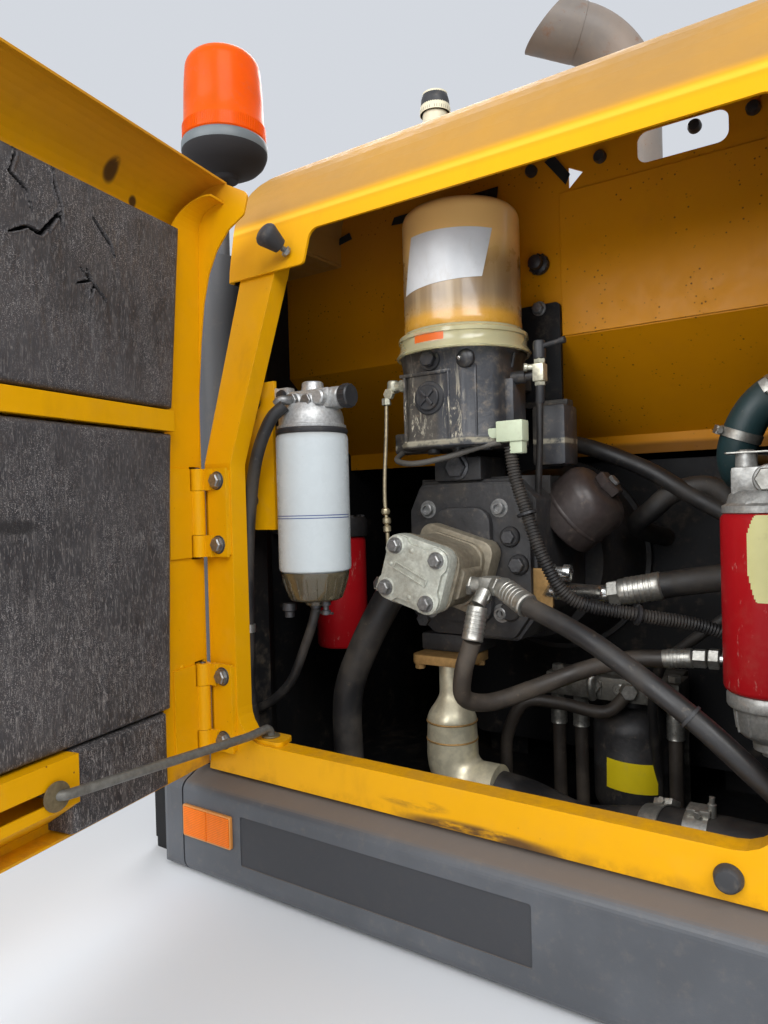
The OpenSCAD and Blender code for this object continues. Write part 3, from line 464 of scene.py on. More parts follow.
def rounded(corners, radius, steps=5):
    """A closed 2-D outline with rounded corners; radius is one number or one for each corner."""
    radii = radius if hasattr(radius, "__len__") else [radius] * len(corners)
    outline = []
    for i, (corner, r) in enumerate(zip(corners, radii)):
        c = Vector(corner)
        a = (Vector(corners[i - 1]) - c).normalized()
        b = (Vector(corners[(i + 1) % len(corners)]) - c).normalized()
        if r <= 0:
            outline.append((c.x, c.y))
            continue
        half = math.acos(max(-1.0, min(1.0, a.dot(b)))) / 2
        start, end = c + a * (r / math.tan(half)), c + b * (r / math.tan(half))
        centre = c + (a + b).normalized() * (r / math.sin(half))
        va, vb = start - centre, end - centre
        sweep = va.angle_signed(vb)
        for k in range(steps + 1):
            w = -sweep * k / steps
            outline.append((centre.x + va.x * math.cos(w) - va.y * math.sin(w),
                centre.y + va.x * math.sin(w) + va.y * math.cos(w)))
    return outline


def rectangle(x0, y0, x1, y1, radius=0.0):
    return rounded([(x0, y0), (x1, y0), (x1, y1), (x0, y1)], radius)


def make(name, shape, look, *replaces, body="bay", slot=None, merge=True):
    """Turns a Shape into a finished piece on its body, in place of the CAD nodes named after its look."""
    to_row = axes_of(body)
    mesh = bpy.data.meshes.new(name)
    mesh.from_pydata([to_row(p) for p in shape.points], [], shape.faces)
    work = bmesh.new()
    work.from_mesh(mesh)
    if merge:
        bmesh.ops.remove_doubles(work, verts=work.verts, dist=1e-6)
    bmesh.ops.recalc_face_normals(work, faces=work.faces)
    work.to_mesh(mesh)
    work.free()
    return settle(name, mesh, look, body, slot, replaces)


def settle(name, mesh, look, body, slot, replaces, crease=35.0):
    """Gives a plain mesh its name, finish and body."""
    coat(mesh, look)
    slot = slot or next(key for key, looks in SLOTS.items() if look in looks)
    for polygon in mesh.polygons:
        polygon.use_smooth = True
    mesh.set_sharp_from_angle(angle=math.radians(crease))
    piece = bpy.data.objects.new(name, mesh)
    bpy.context.scene.collection.objects.link(piece)
    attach(piece, body)
    if replaces:
        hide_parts(*replaces)
    return piece


def coat(mesh, look):
    mesh.materials.clear()
    mesh.materials.append(LOOKS[look])


def refinish(look, *nodes):
    """Gives carried-over CAD nodes a finish."""
    for node in nodes:
        coat(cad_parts[node].data, look)


# ---------------------------------------------------------------- Geometry Nodes


class Growth:
    """A Geometry Nodes tree with named inputs."""

    def __init__(self, name, sizes):
        self.tree = bpy.data.node_groups.new(name, "GeometryNodeTree")
        face = self.tree.interface
        face.new_socket(name="Geometry", in_out="INPUT", socket_type="NodeSocketGeometry")
        for label, default in sizes.items():
            kind = "NodeSocketInt" if isinstance(default, int) else "NodeSocketFloat"
            face.new_socket(name=label, in_out="INPUT", socket_type=kind).default_value = default
        face.new_socket(name="Material", in_out="INPUT", socket_type="NodeSocketMaterial")
        face.new_socket(name="Geometry", in_out="OUTPUT", socket_type="NodeSocketGeometry")
        self.inputs = self.tree.nodes.new("NodeGroupInput")

    def given(self, label):
        return self.inputs.outputs[label]

    def add(self, kind, settings, sockets, output=0):
        node = self.tree.nodes.new(kind)
        for key, value in settings.items():
            setattr(node, key, value)
        for key, value in sockets.items():
            if isinstance(value, bpy.types.NodeSocket):
                self.tree.links.new(value, node.inputs[key])
            elif isinstance(value, list):
                for link in value:
                    self.tree.links.new(link, node.inputs[key])
            else:
                node.inputs[key].default_value = value
        return node.outputs[output]

    def sum(self, operation, a, b):
        return self.add("ShaderNodeMath", {"operation": operation}, {0: a, 1: b})

    def raised(self, geometry, height):
        offset = self.add("ShaderNodeCombineXYZ", {}, {"Z": height})
        return self.add("GeometryNodeTransform", {}, {"Geometry": geometry, "Translation": offset})

    def points(self, mesh):
        return self.add("GeometryNodeMeshToPoints", {}, {"Mesh": mesh})

    def stamped(self, piece):
        """Puts the piece on each point, turned to its facing and scaled to its size, and ends the tree."""
        facing = self.add("GeometryNodeInputNamedAttribute", {"data_type": "FLOAT_VECTOR"}, {"Name": "facing"})
        across = self.add("GeometryNodeInputNamedAttribute", {"data_type": "FLOAT"}, {"Name": "across"})
        turn = self.add("FunctionNodeAlignRotationToVector", {"axis": "Z"}, {"Vector": facing})
        sockets = {"Points": self.points(self.given("Geometry")), "Instance": piece, "Rotation": turn, "Scale": across}
        return self.close(self.add("GeometryNodeInstanceOnPoints", {}, sockets))

    def close(self, geometry):
        """Ends the tree in Realize Instances and Set Material."""
        real = self.add("GeometryNodeRealizeInstances", {}, {0: geometry})
        done = self.add("GeometryNodeSetMaterial", {}, {"Geometry": real, "Material": self.given("Material")})
        self.tree.links.new(done, self.tree.nodes.new("NodeGroupOutput").inputs[0])
        return self.tree


def grown(name, mesh, tree, values, look, *replaces, body="bay", crease=35.0, place=None):
    """Runs a tree on a mesh and keeps the result as a plain piece, moved by place."""
    holder = bpy.data.objects.new(name + "_growth", mesh)
    bpy.context.scene.collection.objects.link(holder)
    modifier = holder.modifiers.new("Growth", "NODES")
    modifier.node_group = tree
    for item in tree.interface.items_tree:
        if item.item_type == "SOCKET" and item.in_out == "INPUT":
            if item.name in values:
                modifier[item.identifier] = values[item.name]
            elif item.name == "Material":
                modifier[item.identifier] = LOOKS[look]
    bpy.context.view_layer.update()
    graph = bpy.context.evaluated_depsgraph_get()
    result = bpy.data.meshes.new_from_object(holder.evaluated_get(graph))
    bpy.data.objects.remove(holder)
    if place is not None:
        result.transform(Matrix.Translation(place))
    return settle(name, result, look, body, None, replaces, crease)


def point_mesh(name, rows, body="bay"):
    """Points that carry a facing and a size, for a tree to stamp pieces on. Rows are (place, facing, size in mm)."""
    to_row = axes_of(body)
    mesh = bpy.data.meshes.new(name)
    mesh.from_pydata([to_row(place) for place, facing, size in rows], [], [])
    mesh.attributes.new("facing", "FLOAT_VECTOR", "POINT")
    mesh.attributes.new("across", "FLOAT", "POINT")
    facing, size = mesh.attributes["facing"], mesh.attributes["across"]
    zero = to_row((0, 0, 0))
    for i, (place, direction, across) in enumerate(rows):
        facing.data[i].vector = (to_row(direction) - zero).normalized()
        size.data[i].value = across * MM
    return mesh


HEX_CORNER = 0.577  # corner radius of a hexagon one unit across its flats


def bolt_tree():
    """Hex heads with a chamfer on a round flange, one on each point."""
    t = Growth("Bolt heads", {"Head height": 0.55, "Flange radius": 0.72, "Flange height": 0.12})
    height, rim = t.given("Head height"), t.given("Flange height")
    flange = t.add("GeometryNodeMeshCylinder", {}, {"Vertices": 28, "Radius": t.given("Flange radius"), "Depth": rim},
        "Mesh")
    flange = t.raised(flange, t.sum("MULTIPLY", rim, 0.5))
    shank = t.add("GeometryNodeMeshCylinder", {}, {"Vertices": 6, "Radius": HEX_CORNER, "Depth": height}, "Mesh")
    shank = t.raised(shank, t.sum("ADD", t.sum("MULTIPLY", height, 0.5), rim))
    crown = t.add("GeometryNodeMeshCone", {}, {"Vertices": 6, "Radius Top": 0.47, "Radius Bottom": HEX_CORNER,
        "Depth": 0.09}, "Mesh")
    crown = t.raised(crown, t.sum("ADD", height, rim))
    return t.stamped(t.add("GeometryNodeJoinGeometry", {}, {0: [flange, shank, crown]}))


def dimple_tree():
    """Low round weld dimples, one on each point."""
    t = Growth("Weld dimples", {"Height": 0.22})
    ball = t.add("GeometryNodeMeshUVSphere", {}, {"Segments": 16, "Rings": 10, "Radius": 0.5}, "Mesh")
    flat = t.add("ShaderNodeCombineXYZ", {}, {"X": 1.0, "Y": 1.0, "Z": t.given("Height")})
    return t.stamped(t.add("GeometryNodeTransform", {}, {"Geometry": ball, "Scale": flat}))


def rib_tree():
    """A ring of upright ribs about the object's own Z axis, moved to its place afterwards."""
    t = Growth("Ring of ribs", {"Count": 40, "Radius": 0.05, "Width": 0.002, "Depth": 0.002, "Length": 0.02})
    ring = t.add("GeometryNodeMeshCircle", {}, {"Vertices": t.given("Count"), "Radius": t.given("Radius")}, "Mesh")
    size = t.add("ShaderNodeCombineXYZ", {}, {"X": t.given("Depth"), "Y": t.given("Width"), "Z": t.given("Length")})
    rib = t.add("GeometryNodeMeshCube", {}, {"Size": size}, "Mesh")
    place = t.add("GeometryNodeInputPosition", {}, {})
    outward = t.add("FunctionNodeAlignRotationToVector", {"axis": "X", "pivot_axis": "Z"}, {"Vector": place})
    return t.close(t.add("GeometryNodeInstanceOnPoints", {}, {"Points": t.points(ring), "Instance": rib,
        "Rotation": outward}))


def corrugated_tree():
    """A ribbed tube along a line: the radius waves with the length."""
    t = Growth("Corrugated tube", {"Radius": 0.009, "Depth": 0.0012, "Pitch": 0.004, "Samples": 600})
    line = t.add("GeometryNodeMeshToCurve", {}, {0: t.given("Geometry")})
    line = t.add("GeometryNodeResampleCurve", {}, {"Curve": line, "Count": t.given("Samples")})
    along = t.add("GeometryNodeSplineParameter", {}, {}, "Length")
    phase = t.sum("MULTIPLY", t.sum("DIVIDE", along, t.given("Pitch")), 2 * math.pi)
    wave = t.add("ShaderNodeMath", {"operation": "SINE"}, {0: phase})
    radius = t.sum("ADD", t.given("Radius"), t.sum("MULTIPLY", wave, t.given("Depth")))
    ring = t.add("GeometryNodeCurvePrimitiveCircle", {}, {"Resolution": 14, "Radius": 1.0}, "Curve")
    return t.close(t.add("GeometryNodeCurveToMesh", {}, {"Curve": line, "Profile Curve": ring, "Scale": radius,
        "Fill Caps": True}))


def line_mesh(name, path):
    """A line of edges, for a tree to follow."""
    mesh = bpy.data.meshes.new(name)
    mesh.from_pydata([bay_point(p) for p in path], [(i, i + 1) for i in range(len(path) - 1)], [])
    return mesh


# ---------------------------------------------------------------- sizes and colours a user would change


def colour_of(name, description, default):
    return bpy.props.FloatVectorProperty(name=name, description=description, subtype="COLOR", size=3, min=0, max=1,
        default=default)


class BayColours(bpy.types.PropertyGroup):
    yellow: colour_of("Yellow paint", "Paint of the frame, cap and door", (0.76, 0.36, 0.002))
    skirt: colour_of("Skirt", "Moulded skirt below the sill", (0.062, 0.066, 0.074))
    red: colour_of("Red can", "Paint of the red filter cans", (0.42, 0.008, 0.012))
    amber: colour_of("Amber tank", "Plastic of the grease reservoir", (0.46, 0.27, 0.09))
    orange: colour_of("Beacon lens", "Plastic of the beacon", (0.80, 0.135, 0.001))


class BaySizes(bpy.types.PropertyGroup):
    hinge_bolt: bpy.props.FloatProperty(name="Hinge bolt", description="Width across flats, in millimetres",
        default=17.0, min=10, max=22)
    conduit_pitch: bpy.props.FloatProperty(name="Conduit pitch", description="Rib spacing of the conduit",
        default=0.0042, min=0.002, max=0.01, unit="LENGTH")
    lens_ribs: bpy.props.IntProperty(name="Lens ribs", description="Ribs round the beacon lens's foot", default=120,
        min=24, max=240)
    foam_grain: bpy.props.FloatProperty(name="Foam relief", description="Height of the foam's lumps, in millimetres",
        default=1.6, min=0, max=4)


# The materials, by look, and the slot that each look of a new piece belongs to.
LOOKS = {}
SLOTS = {
    "bare_steel": ("steel", "dark_steel", "rod", "worn_washer", "ferrule", "bright_tube", "pale_zinc", "brass",
        "manifold"),
    "black_rubber": ("black_plastic", "rubber", "beacon_black"),
    "alloy": ("alloy", "filter_alloy", "gear_alloy", "gear_body", "mirror"),
    "cast_iron": ("cast", "pump_cast"),
    "hose_rubber": ("hose", "brown_hose", "teal_hose", "cable"),
    "gold_zinc": ("gold", "flange"),
    "red_can": ("red_can", "pale_label"),
    "white_can": ("white_can", "blue_line", "white_label"),
    "beacon_lens": ("lens", "orange_patch"),
    "reflector": ("reflector", "reflector_edge"),
    "yellow_paint": ("door", "yellow_label"),
    "brown_cast": ("canister",),
    "clear_collar": ("collar",),
    "amber_tank": ("amber",),
    "smoke_bowl": ("bowl",),
    "cream_plastic": ("connector",),
    "dark_paint": ("recess",),
    "grey_plastic": ("grey_ring",),
    "foam": ("foam",),
}


def inner_face(g):
    """1 on the side of the door that faces the bay."""
    normal = g.add("ShaderNodeTexCoord", {}, {}, "Normal")
    sockets = {0: normal, 1: tuple(DOOR_INWARD)}
    toward = g.add("ShaderNodeVectorMath", {"operation": "DOT_PRODUCT"}, sockets, "Value")
    return g.band(toward, 0, 0.2)


def upward(g):
    """1 where a surface faces up."""
    normal = g.add("ShaderNodeNewGeometry", {}, {}, "Normal")
    split = g.add("ShaderNodeSeparateXYZ", {}, {0: normal}, 2)
    return g.band(split, 0.55, 0.95)


def frame_marks(g, fine, cloud):
    x, y, z = g.bay_axes()
    blend, smears = cloud * 0.5 + fine * 0.5, g.noise(22, 6, 0.7, (0.5, 1, 2.2))
    edge = g.fall(z, 2, 16) * g.band(blend, 0.42, 0.62)
    inner = upward(g) * g.band(blend, 0.40, 0.62)
    scrape = g.spot((x, z), (428, 0), (120, 14)) * g.band(smears, 0.38, 0.56)
    smudge = g.spot((x, z), (345, 20), (55, 9)) * g.band(smears, 0.42, 0.62)
    return [(edge * 0.4, (0.10, 0.045, 0.012), 0.7), (scrape.most(smudge * 0.6) * 0.9, (0.06, 0.032, 0.02), 0.75),
        (inner * 0.3, (0.20, 0.11, 0.04), 0.8)]


def cap_marks(g, fine, cloud):
    x, y, z = g.bay_axes()
    # Above the crease the cap is toned a duller brown. This is partly dust and partly a painted sky reflection that
    # also holds down the brightly lit top.
    film = g.band(cloud, 0.30, 0.66, 0.75, 1) * g.band(z, 779, 796)
    # Painted highlight: a pale line along the crease. Painted shade: a darker band just below it.
    crease_highlight = g.band(z, 773, 777) * g.fall(z, 779, 786)
    under = g.band(z, 766, 774) * g.fall(z, 774, 777)
    # Painted shade: a near-black strip where the dark inside of the bay shows through a slot in the sheet.
    slot = g.band(y - (z - 696) * 0.282, 69, 71) * g.fall(x, 160, 164)
    slot = slot * g.fall(z, 756, 762) * g.fall(y, 93, 95)
    return [(slot, (0.016, 0.009, 0.004), 0.8), (film * 0.9, (0.33, 0.185, 0.062), 0.5),
        (crease_highlight * 0.5, (0.93, 0.52, 0.06), 0.3), (under * 0.25, (0.45, 0.19, 0.01), 0.5)]


def panel_marks(g, fine, cloud):
    x, y, z = g.bay_axes()
    # Darker and browner towards the top, more so on the left: partly rust dusting, partly painted shade.
    high = g.band(z + (cloud - 0.5) * 160, 690, 840)
    left = g.band(x + (cloud - 0.5) * 180, 120, 430, 1, 0.25)
    specks = g.fall(g.cells(115), 0.10, 0.20) * g.band(g.noise(17, 4), 0.48, 0.6)
    stain_a = g.spot((x, z), (222, 722), (22, 12))
    stain_b = g.spot((x, z), (226, 664), (20, 16))
    ragged = g.band(g.noise(60, 5, 0.7), 0.42, 0.56)
    # Painted shade: below z 456 and right of the seam, the downward-facing lower plate is painted dark orange-brown.
    lower_plate_shade = g.fall(z + (cloud - 0.5) * 8, 452, 461) * g.band(x, 330, 345)
    return [(g.band(z, 300, 310) * 0.5, (0.64, 0.19, 0.002), 0.4), (lower_plate_shade * 0.75, (0.10, 0.042, 0.010), 0.7),
        (high * left * 0.7, (0.34, 0.12, 0.016), 0.62), (high * 0.3, (0.55, 0.22, 0.006), 0.6),
        (specks * 0.85, (0.07, 0.028, 0.012), 0.8), (stain_a.most(stain_b) * ragged * 0.85, (0.06, 0.03, 0.015), 0.7)]


def door_marks(g, fine, cloud):
    s, n, z = g.door_axes()
    top = g.band(z + (cloud - 0.5) * 50, 765, 815) * 0.5
    spot_a = g.spot((s, z), (134, 786), (13, 17)) * g.band(g.noise(70, 5, 0.7), 0.22, 0.4)
    spot_b = g.spot((s, z), (88, 766), (8, 9)) * g.band(g.noise(80, 5, 0.7), 0.22, 0.4)
    foot = g.fall(z, 6, 40) * g.band(fine * 0.4 + cloud * 0.6, 0.36, 0.58)
    return [(top, (0.40, 0.155, 0.02), 0.5), (spot_a.most(spot_b) * inner_face(g) * 0.9, (0.035, 0.018, 0.012), 0.75),
        (foot * 0.8, (0.22, 0.13, 0.07), 0.8)]


def skirt_marks(g, fine, cloud):
    x, y, z = g.bay_axes()
    ledge = upward(g).most(g.band(z + (cloud - 0.5) * 10, -24, -6) * 0.85)
    panel = g.band(x, 87, 89) * g.fall(x, 500, 502) * g.band(z, -110, -108)
    panel = panel * g.fall(z, -44, -42) * g.band(y, -25.5, -23.9, 0, 1)
    return [(panel * 0.75, (0.022, 0.022, 0.025), 0.7), (ledge * 0.7, (0.155, 0.118, 0.09), 0.85)]


def amber_marks(g, fine, cloud):
    z = g.bay_axes()[2]
    streaks = g.noise(22, 3, 0.6, (1.6, 1.6, 0.12))
    smear = g.band(z, 628, 652) * g.fall(z, 650, 715)
    # Pale vertical streaks: partly a grease film, partly painted reflections.
    film = g.band(streaks, 0.38, 0.68)
    # Lighter towards the top: partly dust, partly painted light against the shadow the cap casts on the tank.
    high = g.band(z, 690, 735)
    foot = g.fall(z, 622, 634)
    return [(smear * 0.9, (0.21, 0.145, 0.085), 0.35), (film * 0.45, (0.58, 0.43, 0.25), 0.25),
        (high * g.band(z, 770, 792, 1, 0.45), (1, 0.62, 0.22), 0.3), (foot * 0.8, (0.66, 0.33, 0.035), 0.25)]


def label_marks(g, fine, cloud):
    return [(g.band(g.noise(20, 6, 0.7, (1, 1, 0.3)), 0.58, 0.75) * 0.3, (0.42, 0.36, 0.28), 0.6)]


def red_marks(g, fine, cloud):
    scratches = g.band(g.noise(75, 6, 0.8, (1, 1, 0.3)), 0.60, 0.66)
    return [(scratches * 0.6, (0.50, 0.22, 0.19), 0.5)]


def can_marks(g, fine, cloud):
    """Drip stains and a grimy crown on a white can."""
    z = g.bay_axes()[2]
    drips = g.band(g.noise(34, 5, 0.7, (1, 1, 0.07)), 0.55, 0.72) * g.band(z, 300, 470, 0.35, 1)
    crown = g.band(z + (cloud - 0.5) * 10, 458, 472)
    return [(drips * 0.55, (0.30, 0.20, 0.12), 0.5), (crown * 0.6, (0.16, 0.12, 0.09), 0.6)]


def exhaust_marks(g, fine, cloud):
    blush = g.band(g.noise(6, 5, 0.6), 0.36, 0.66)
    rust = g.band(g.noise(30, 6, 0.7), 0.56, 0.72)
    return [(blush * 0.5, (0.30, 0.22, 0.165), 0.5), (rust * 0.55, (0.20, 0.09, 0.04), 0.75)]


def glossy(name, colour, roughness=0.15, layers=None, **constants):
    """Clear or tinted gloss plastic and labels."""
    g = Graph(name)
    cloud = g.noise(6, 5, 0.6)
    fine = g.noise(45, 6, 0.65)
    tone = g.mix(g.band(cloud, 0.35, 0.7), colour, shade(colour, 0.82))
    tone = g.mix(g.band(fine, 0.56, 0.8) * 0.25, tone, DUST)
    rough = g.band(fine, 0.4, 0.8, roughness, roughness + 0.22)
    tone, rough = g.layered(layers, fine, cloud, tone, rough, roughness)
    return g.finish(tone, rough, normal=g.bump(fine, 0.0004, 0.2), **constants)


def prismatic(name, colour):
    """Reflector face: a fine lattice of prisms under clear plastic."""
    g = Graph(name)
    prisms = g.cells(420, random=0)
    tone = g.mix(g.band(prisms, 0.1, 0.6), colour, shade(colour, 0.55))
    tone = g.mix(g.band(g.noise(60, 6, 0.7), 0.5, 0.75) * 0.3, tone, (0.30, 0.12, 0.03))
    return g.finish(tone, 0.4, normal=g.bump(prisms, 0.0006, 0.5), Specular_IOR_Level=0.2, Coat_Weight=0.05)


# Name, colour, metallic, roughness, dirt, grain, colour of the dirt and depth of the grain.
METALS = {
    "steel": ("zinc_steel_bolts", (0.30, 0.30, 0.295), 0.85, 0.38, 0.5, 260),
    "dark_steel": ("dark_steel_bolts", (0.10, 0.10, 0.105), 0.75, 0.42, 0.5, 260),
    "rod": ("worn_steel_rod", (0.20, 0.195, 0.175), 0.55, 0.42, 0.45, 140, (0.07, 0.05, 0.03)),
    "worn_washer": ("worn_washers", (0.20, 0.16, 0.09), 0.5, 0.5, 0.5, 180, (0.10, 0.055, 0.02)),
    "ferrule": ("zinc_ferrules", (0.46, 0.45, 0.41), 0.85, 0.34, 0.45, 200),
    "bright_tube": ("bright_steel_tube", (0.60, 0.60, 0.58), 0.95, 0.22, 0.25, 160),
    "alloy": ("cast_alloy", (0.46, 0.46, 0.44), 0.6, 0.42, 0.6, 240, (0.06, 0.05, 0.04), 0.0009),
    "filter_alloy": ("cast_alloy_filter_head", (0.50, 0.50, 0.49), 0.55, 0.36, 0.5, 260, (0.05, 0.045, 0.04), 0.0009),
    "gear_alloy": ("cast_alloy_gear_pump", (0.52, 0.53, 0.46), 0.35, 0.4, 0.35, 180, (0.16, 0.12, 0.075), 0.0009),
    "gear_body": ("cast_alloy_gear_body", (0.26, 0.225, 0.165), 0.4, 0.42, 0.6, 140, (0.10, 0.07, 0.04), 0.0009),
    "cast": ("painted_casting", (0.028, 0.027, 0.028), 0.1, 0.45, 0.5, 150, (0.06, 0.048, 0.035), 0.0012),
    "canister": ("brown_canister", (0.050, 0.038, 0.035), 0.15, 0.36, 0.4, 120),
    "gold": ("yellow_zinc_pipe", (0.72, 0.66, 0.48), 0.45, 0.3, 0.4, 60, (0.24, 0.19, 0.11), 0.0007),
    "flange": ("yellow_zinc_flange", (0.42, 0.25, 0.09), 0.5, 0.5, 0.5, 120, (0.16, 0.09, 0.03)),
    "manifold": ("manifold_steel", (0.20, 0.19, 0.165), 0.5, 0.45, 0.75, 160, (0.03, 0.024, 0.018)),
    "pale_zinc": ("pale_zinc_fittings", (0.62, 0.60, 0.47), 0.6, 0.35, 0.35, 240, (0.12, 0.10, 0.06)),
    "brass": ("brass_fittings", (0.50, 0.42, 0.27), 0.75, 0.35, 0.5, 240, (0.09, 0.06, 0.03)),
    "mirror": ("mirror_reflector", (0.8, 0.8, 0.8), 1, 0.1, 0, 40),
}

# Name, colour, roughness, grain and dust.
PLASTICS = {
    "rubber": ("black_rubber_stops", (0.026, 0.026, 0.028), 0.6),
    "black_plastic": ("black_plastic_small_parts", (0.020, 0.020, 0.022), 0.4, 500, 0.25),
    "grey_ring": ("grey_plastic_ring", (0.10, 0.115, 0.122), 0.35, 500, 0.1),
    "cream": ("cream_plastic_breather", (0.62, 0.56, 0.40), 0.4, 600, 0.2),
    "beacon_black": ("beacon_foot_plastic", (0.007, 0.006, 0.007), 0.75, 500, 0),
    # Painted shade: the near-black plates over the inner panel's openings.
    "recess": ("dark_recess", (0.006, 0.006, 0.006), 0.8, 300, 0.05),
}

# Name, colour and dust.
HOSES = {
    "hose": ("hose_cover", (0.013, 0.0125, 0.013), 0.36),
    "brown_hose": ("brown_hose_cover", (0.036, 0.029, 0.024), 0.55),
    "teal_hose": ("teal_hose_cover", (0.016, 0.042, 0.046), 0.25),
    "cable": ("grey_cable_cover", (0.10, 0.092, 0.08), 0.5),
}

# Name, colour, roughness and marks.
LABELS = {
    "blue_line": ("blue_line", (0.02, 0.05, 0.22), 0.35),
    "white_label": ("blank_white_label", (0.72, 0.73, 0.74), 0.3, label_marks),
    "yellow_label": ("blank_yellow_label", (1, 0.76, 0.015), 0.35, label_marks),
    "pale_label": ("blank_pale_label", (0.72, 0.68, 0.30), 0.35, label_marks),
    "orange_patch": ("orange_patch", (0.80, 0.15, 0.02), 0.35),
    "connector": ("pale_connector", (0.56, 0.62, 0.44), 0.35),
    "reflector_edge": ("pale_reflector_edge", (0.58, 0.23, 0.05), 0.3),
}


def make_looks(colours):
    for maker, rows in ((cast_metal, METALS), (moulded, PLASTICS), (hose_rubber, HOSES), (glossy, LABELS)):
        LOOKS.update({look: maker(*row) for look, row in rows.items()})
    yellow = tuple(colours.yellow)
    LOOKS.update({
        "frame": painted("yellow_paint_frame", yellow, 0.25, 0.05, layers=frame_marks),
        "cap": painted("yellow_paint_cap", yellow, 0.12, 0.04, 0.1, 0.5, cap_marks, gloss=0.12),
        "panel": painted("yellow_paint_inner_panel", yellow, 0.25, 0.05, layers=panel_marks),
        "door": painted("yellow_paint_door", yellow, 0.22, 0.05, layers=door_marks),
        "yellow": painted("yellow_paint_small_parts", yellow, 0.4),
        "rail": painted("yellow_paint_worn_rail", yellow, 0.6, 0.25, 0.9),
        # Near-black paint on the walls, deck and engine, which also stands in for the deep shade inside the bay.
        "wall": painted("dark_walls_and_painted_shade", (0.013, 0.013, 0.014), dust=0.3, roughness=0.5),
        "grey_pole": painted("grey_paint_pole", (0.085, 0.088, 0.094), 0.4, 0.2, roughness=0.45),
        "exhaust": painted("heat_tinted_exhaust", (0.19, 0.165, 0.145), 0.3, 0.3, 0.6, 0.4, exhaust_marks),
        "white_can": painted("white_paint_can", (0.56, 0.60, 0.61), 0.12, 0.1, 0.1, 0.26, can_marks, 0),
        "red_can": painted("red_paint_can", tuple(colours.red), 0.3, 0.12, 0.2, layers=red_marks, soft_edge=0),
        "skirt": moulded("grey_moulding_skirt", tuple(colours.skirt), 0.42, 700, 0.16, skirt_marks),
        "foam": foam_skin("foam_film"),
        "pump_cast": worn_casting("grease_pump_casting"),
        "amber": glossy("amber_tank", tuple(colours.amber), 0.2, amber_marks, Coat_Weight=0.5, Coat_Roughness=0.12),
        "collar": glossy("clear_collar", (0.95, 0.88, 0.55), 0.08, Transmission_Weight=0.6, IOR=1.35,
            Coat_Weight=0.6),
        "bowl": glossy("smoky_bowl", (0.17, 0.14, 0.085), 0.14, Transmission_Weight=0.45, IOR=1.4, Coat_Weight=0.6),
        # The lens's faint emission is a painted glow, standing in for daylight shining through it.
        "lens": glossy("orange_lens_and_painted_glow", tuple(colours.orange), 0.3, Transmission_Weight=0.5, IOR=1.25,
            Emission_Color=(1, 0.13, 0, 1), Emission_Strength=0.12, Coat_Weight=0.03, Specular_IOR_Level=0.12),
        "reflector": prismatic("orange_reflector", (1, 0.20, 0.003)),
    })


# ---------------------------------------------------------------- pieces


def spokes(count, start=0.0):
    """Level directions round a full turn."""
    turns = [2 * math.pi * (k + start) / count for k in range(count)]
    return [Vector((math.cos(a), math.sin(a), 0)) for a in turns]


def nut(shape, start, axis, across, length):
    """A hexagon with chamfered ends."""
    r, c = across / math.sqrt(3), across * 0.06
    return shape.turned(start, axis, [(r - c, 0), (r, c), (r, length - c), (r - c, length)], 6)


def ferrule(shape, start, end, radius):
    """A crimped sleeve with three grooves, from start to the hose's side."""
    a, b = Vector(start), Vector(end)
    length = (b - a).length
    profile = [(radius * 0.7, 0), (radius * 0.9, 0), (radius * 0.94, length * 0.03), (radius * 0.94, length * 0.16),
        (radius, length * 0.18)]
    for k in range(5):
        at = length * (0.26 + 0.12 * k)
        profile += [(radius, at), (radius * 0.965, at + length * 0.012), (radius * 0.965, at + length * 0.05),
            (radius, at + length * 0.062)]
    profile += [(radius, length * 0.93), (radius * 1.03, length * 0.96), (radius * 0.95, length),
        (radius * 0.7, length)]
    return shape.turned(a, b - a, profile, 28)


def clamp(shape, centre, axis, radius, width, screw=None):
    """A worm-drive band with its screw housing."""
    c, w = Vector(centre), Vector(axis).normalized()
    start = c - w * (width / 2)
    shape.turned(start, w, [(radius, 0), (radius + 1.4, 0.4), (radius + 1.4, width - 0.4), (radius, width),
        (radius - 0.5, width), (radius - 0.5, 0), (radius, 0)], 40)
    if screw is not None:
        out = Vector(screw).normalized()
        side = w.cross(out).normalized()
        turn = Matrix((side, w, out)).transposed()
        spot = c + out * (radius + 4)
        shape.block(spot - Vector((9, width / 2 - 0.6, 3.6)), spot + Vector((9, width / 2 - 0.6, 3.6)), 1.0, turn, spot)
        nut(shape, spot + side * 8, side, 7, 6)
    return shape


def band_patch(shape, centre, radius, a0, a1, z0, z1, thickness=0.35, steps=24):
    """A label wrapped on an upright cylinder between two angles, in degrees."""
    points, faces = [], []
    for r in (radius, radius + thickness):
        for z in (z0, z1):
            for k in range(steps + 1):
                a = math.radians(a0 + (a1 - a0) * k / steps)
                points.append((centre[0] + r * math.cos(a), centre[1] + r * math.sin(a), z))
    n = steps + 1
    for k in range(steps):
        faces += [[2 * n + k, 2 * n + k + 1, 3 * n + k + 1, 3 * n + k], [k, n + k, n + k + 1, k + 1],
            [k, k + 1, 2 * n + k + 1, 2 * n + k], [n + k, 3 * n + k, 3 * n + k + 1, n + k + 1]]
    faces += [[0, 2 * n, 3 * n, n], [steps, n + steps, 3 * n + steps, 2 * n + steps]]
    return shape.add(points, faces)


# ---------------------------------------------------------------- door


LEAF_FEET = (31, 301)  # heights of the hinge leaves' lower ends
CRACKS = [([(311, 648), (284, 663), (267, 661), (243, 690), (235, 675)], 2.6),
    ([(301, 739), (297, 733), (304, 711), (282, 700), (278, 682)], 2.2),
    ([(250, 737), (248, 720), (240, 698), (236, 675)], 2.2), ([(195, 702), (184, 692), (169, 679), (163, 667)], 2.6),
    ([(220, 622), (198, 630), (205, 642)], 2.0), ([(214, 640), (195, 627), (175, 612)], 2.0),
    ([(195, 627), (201, 608)], 1.8), ([(243, 690), (249, 680), (257, 665)], 1.8)]


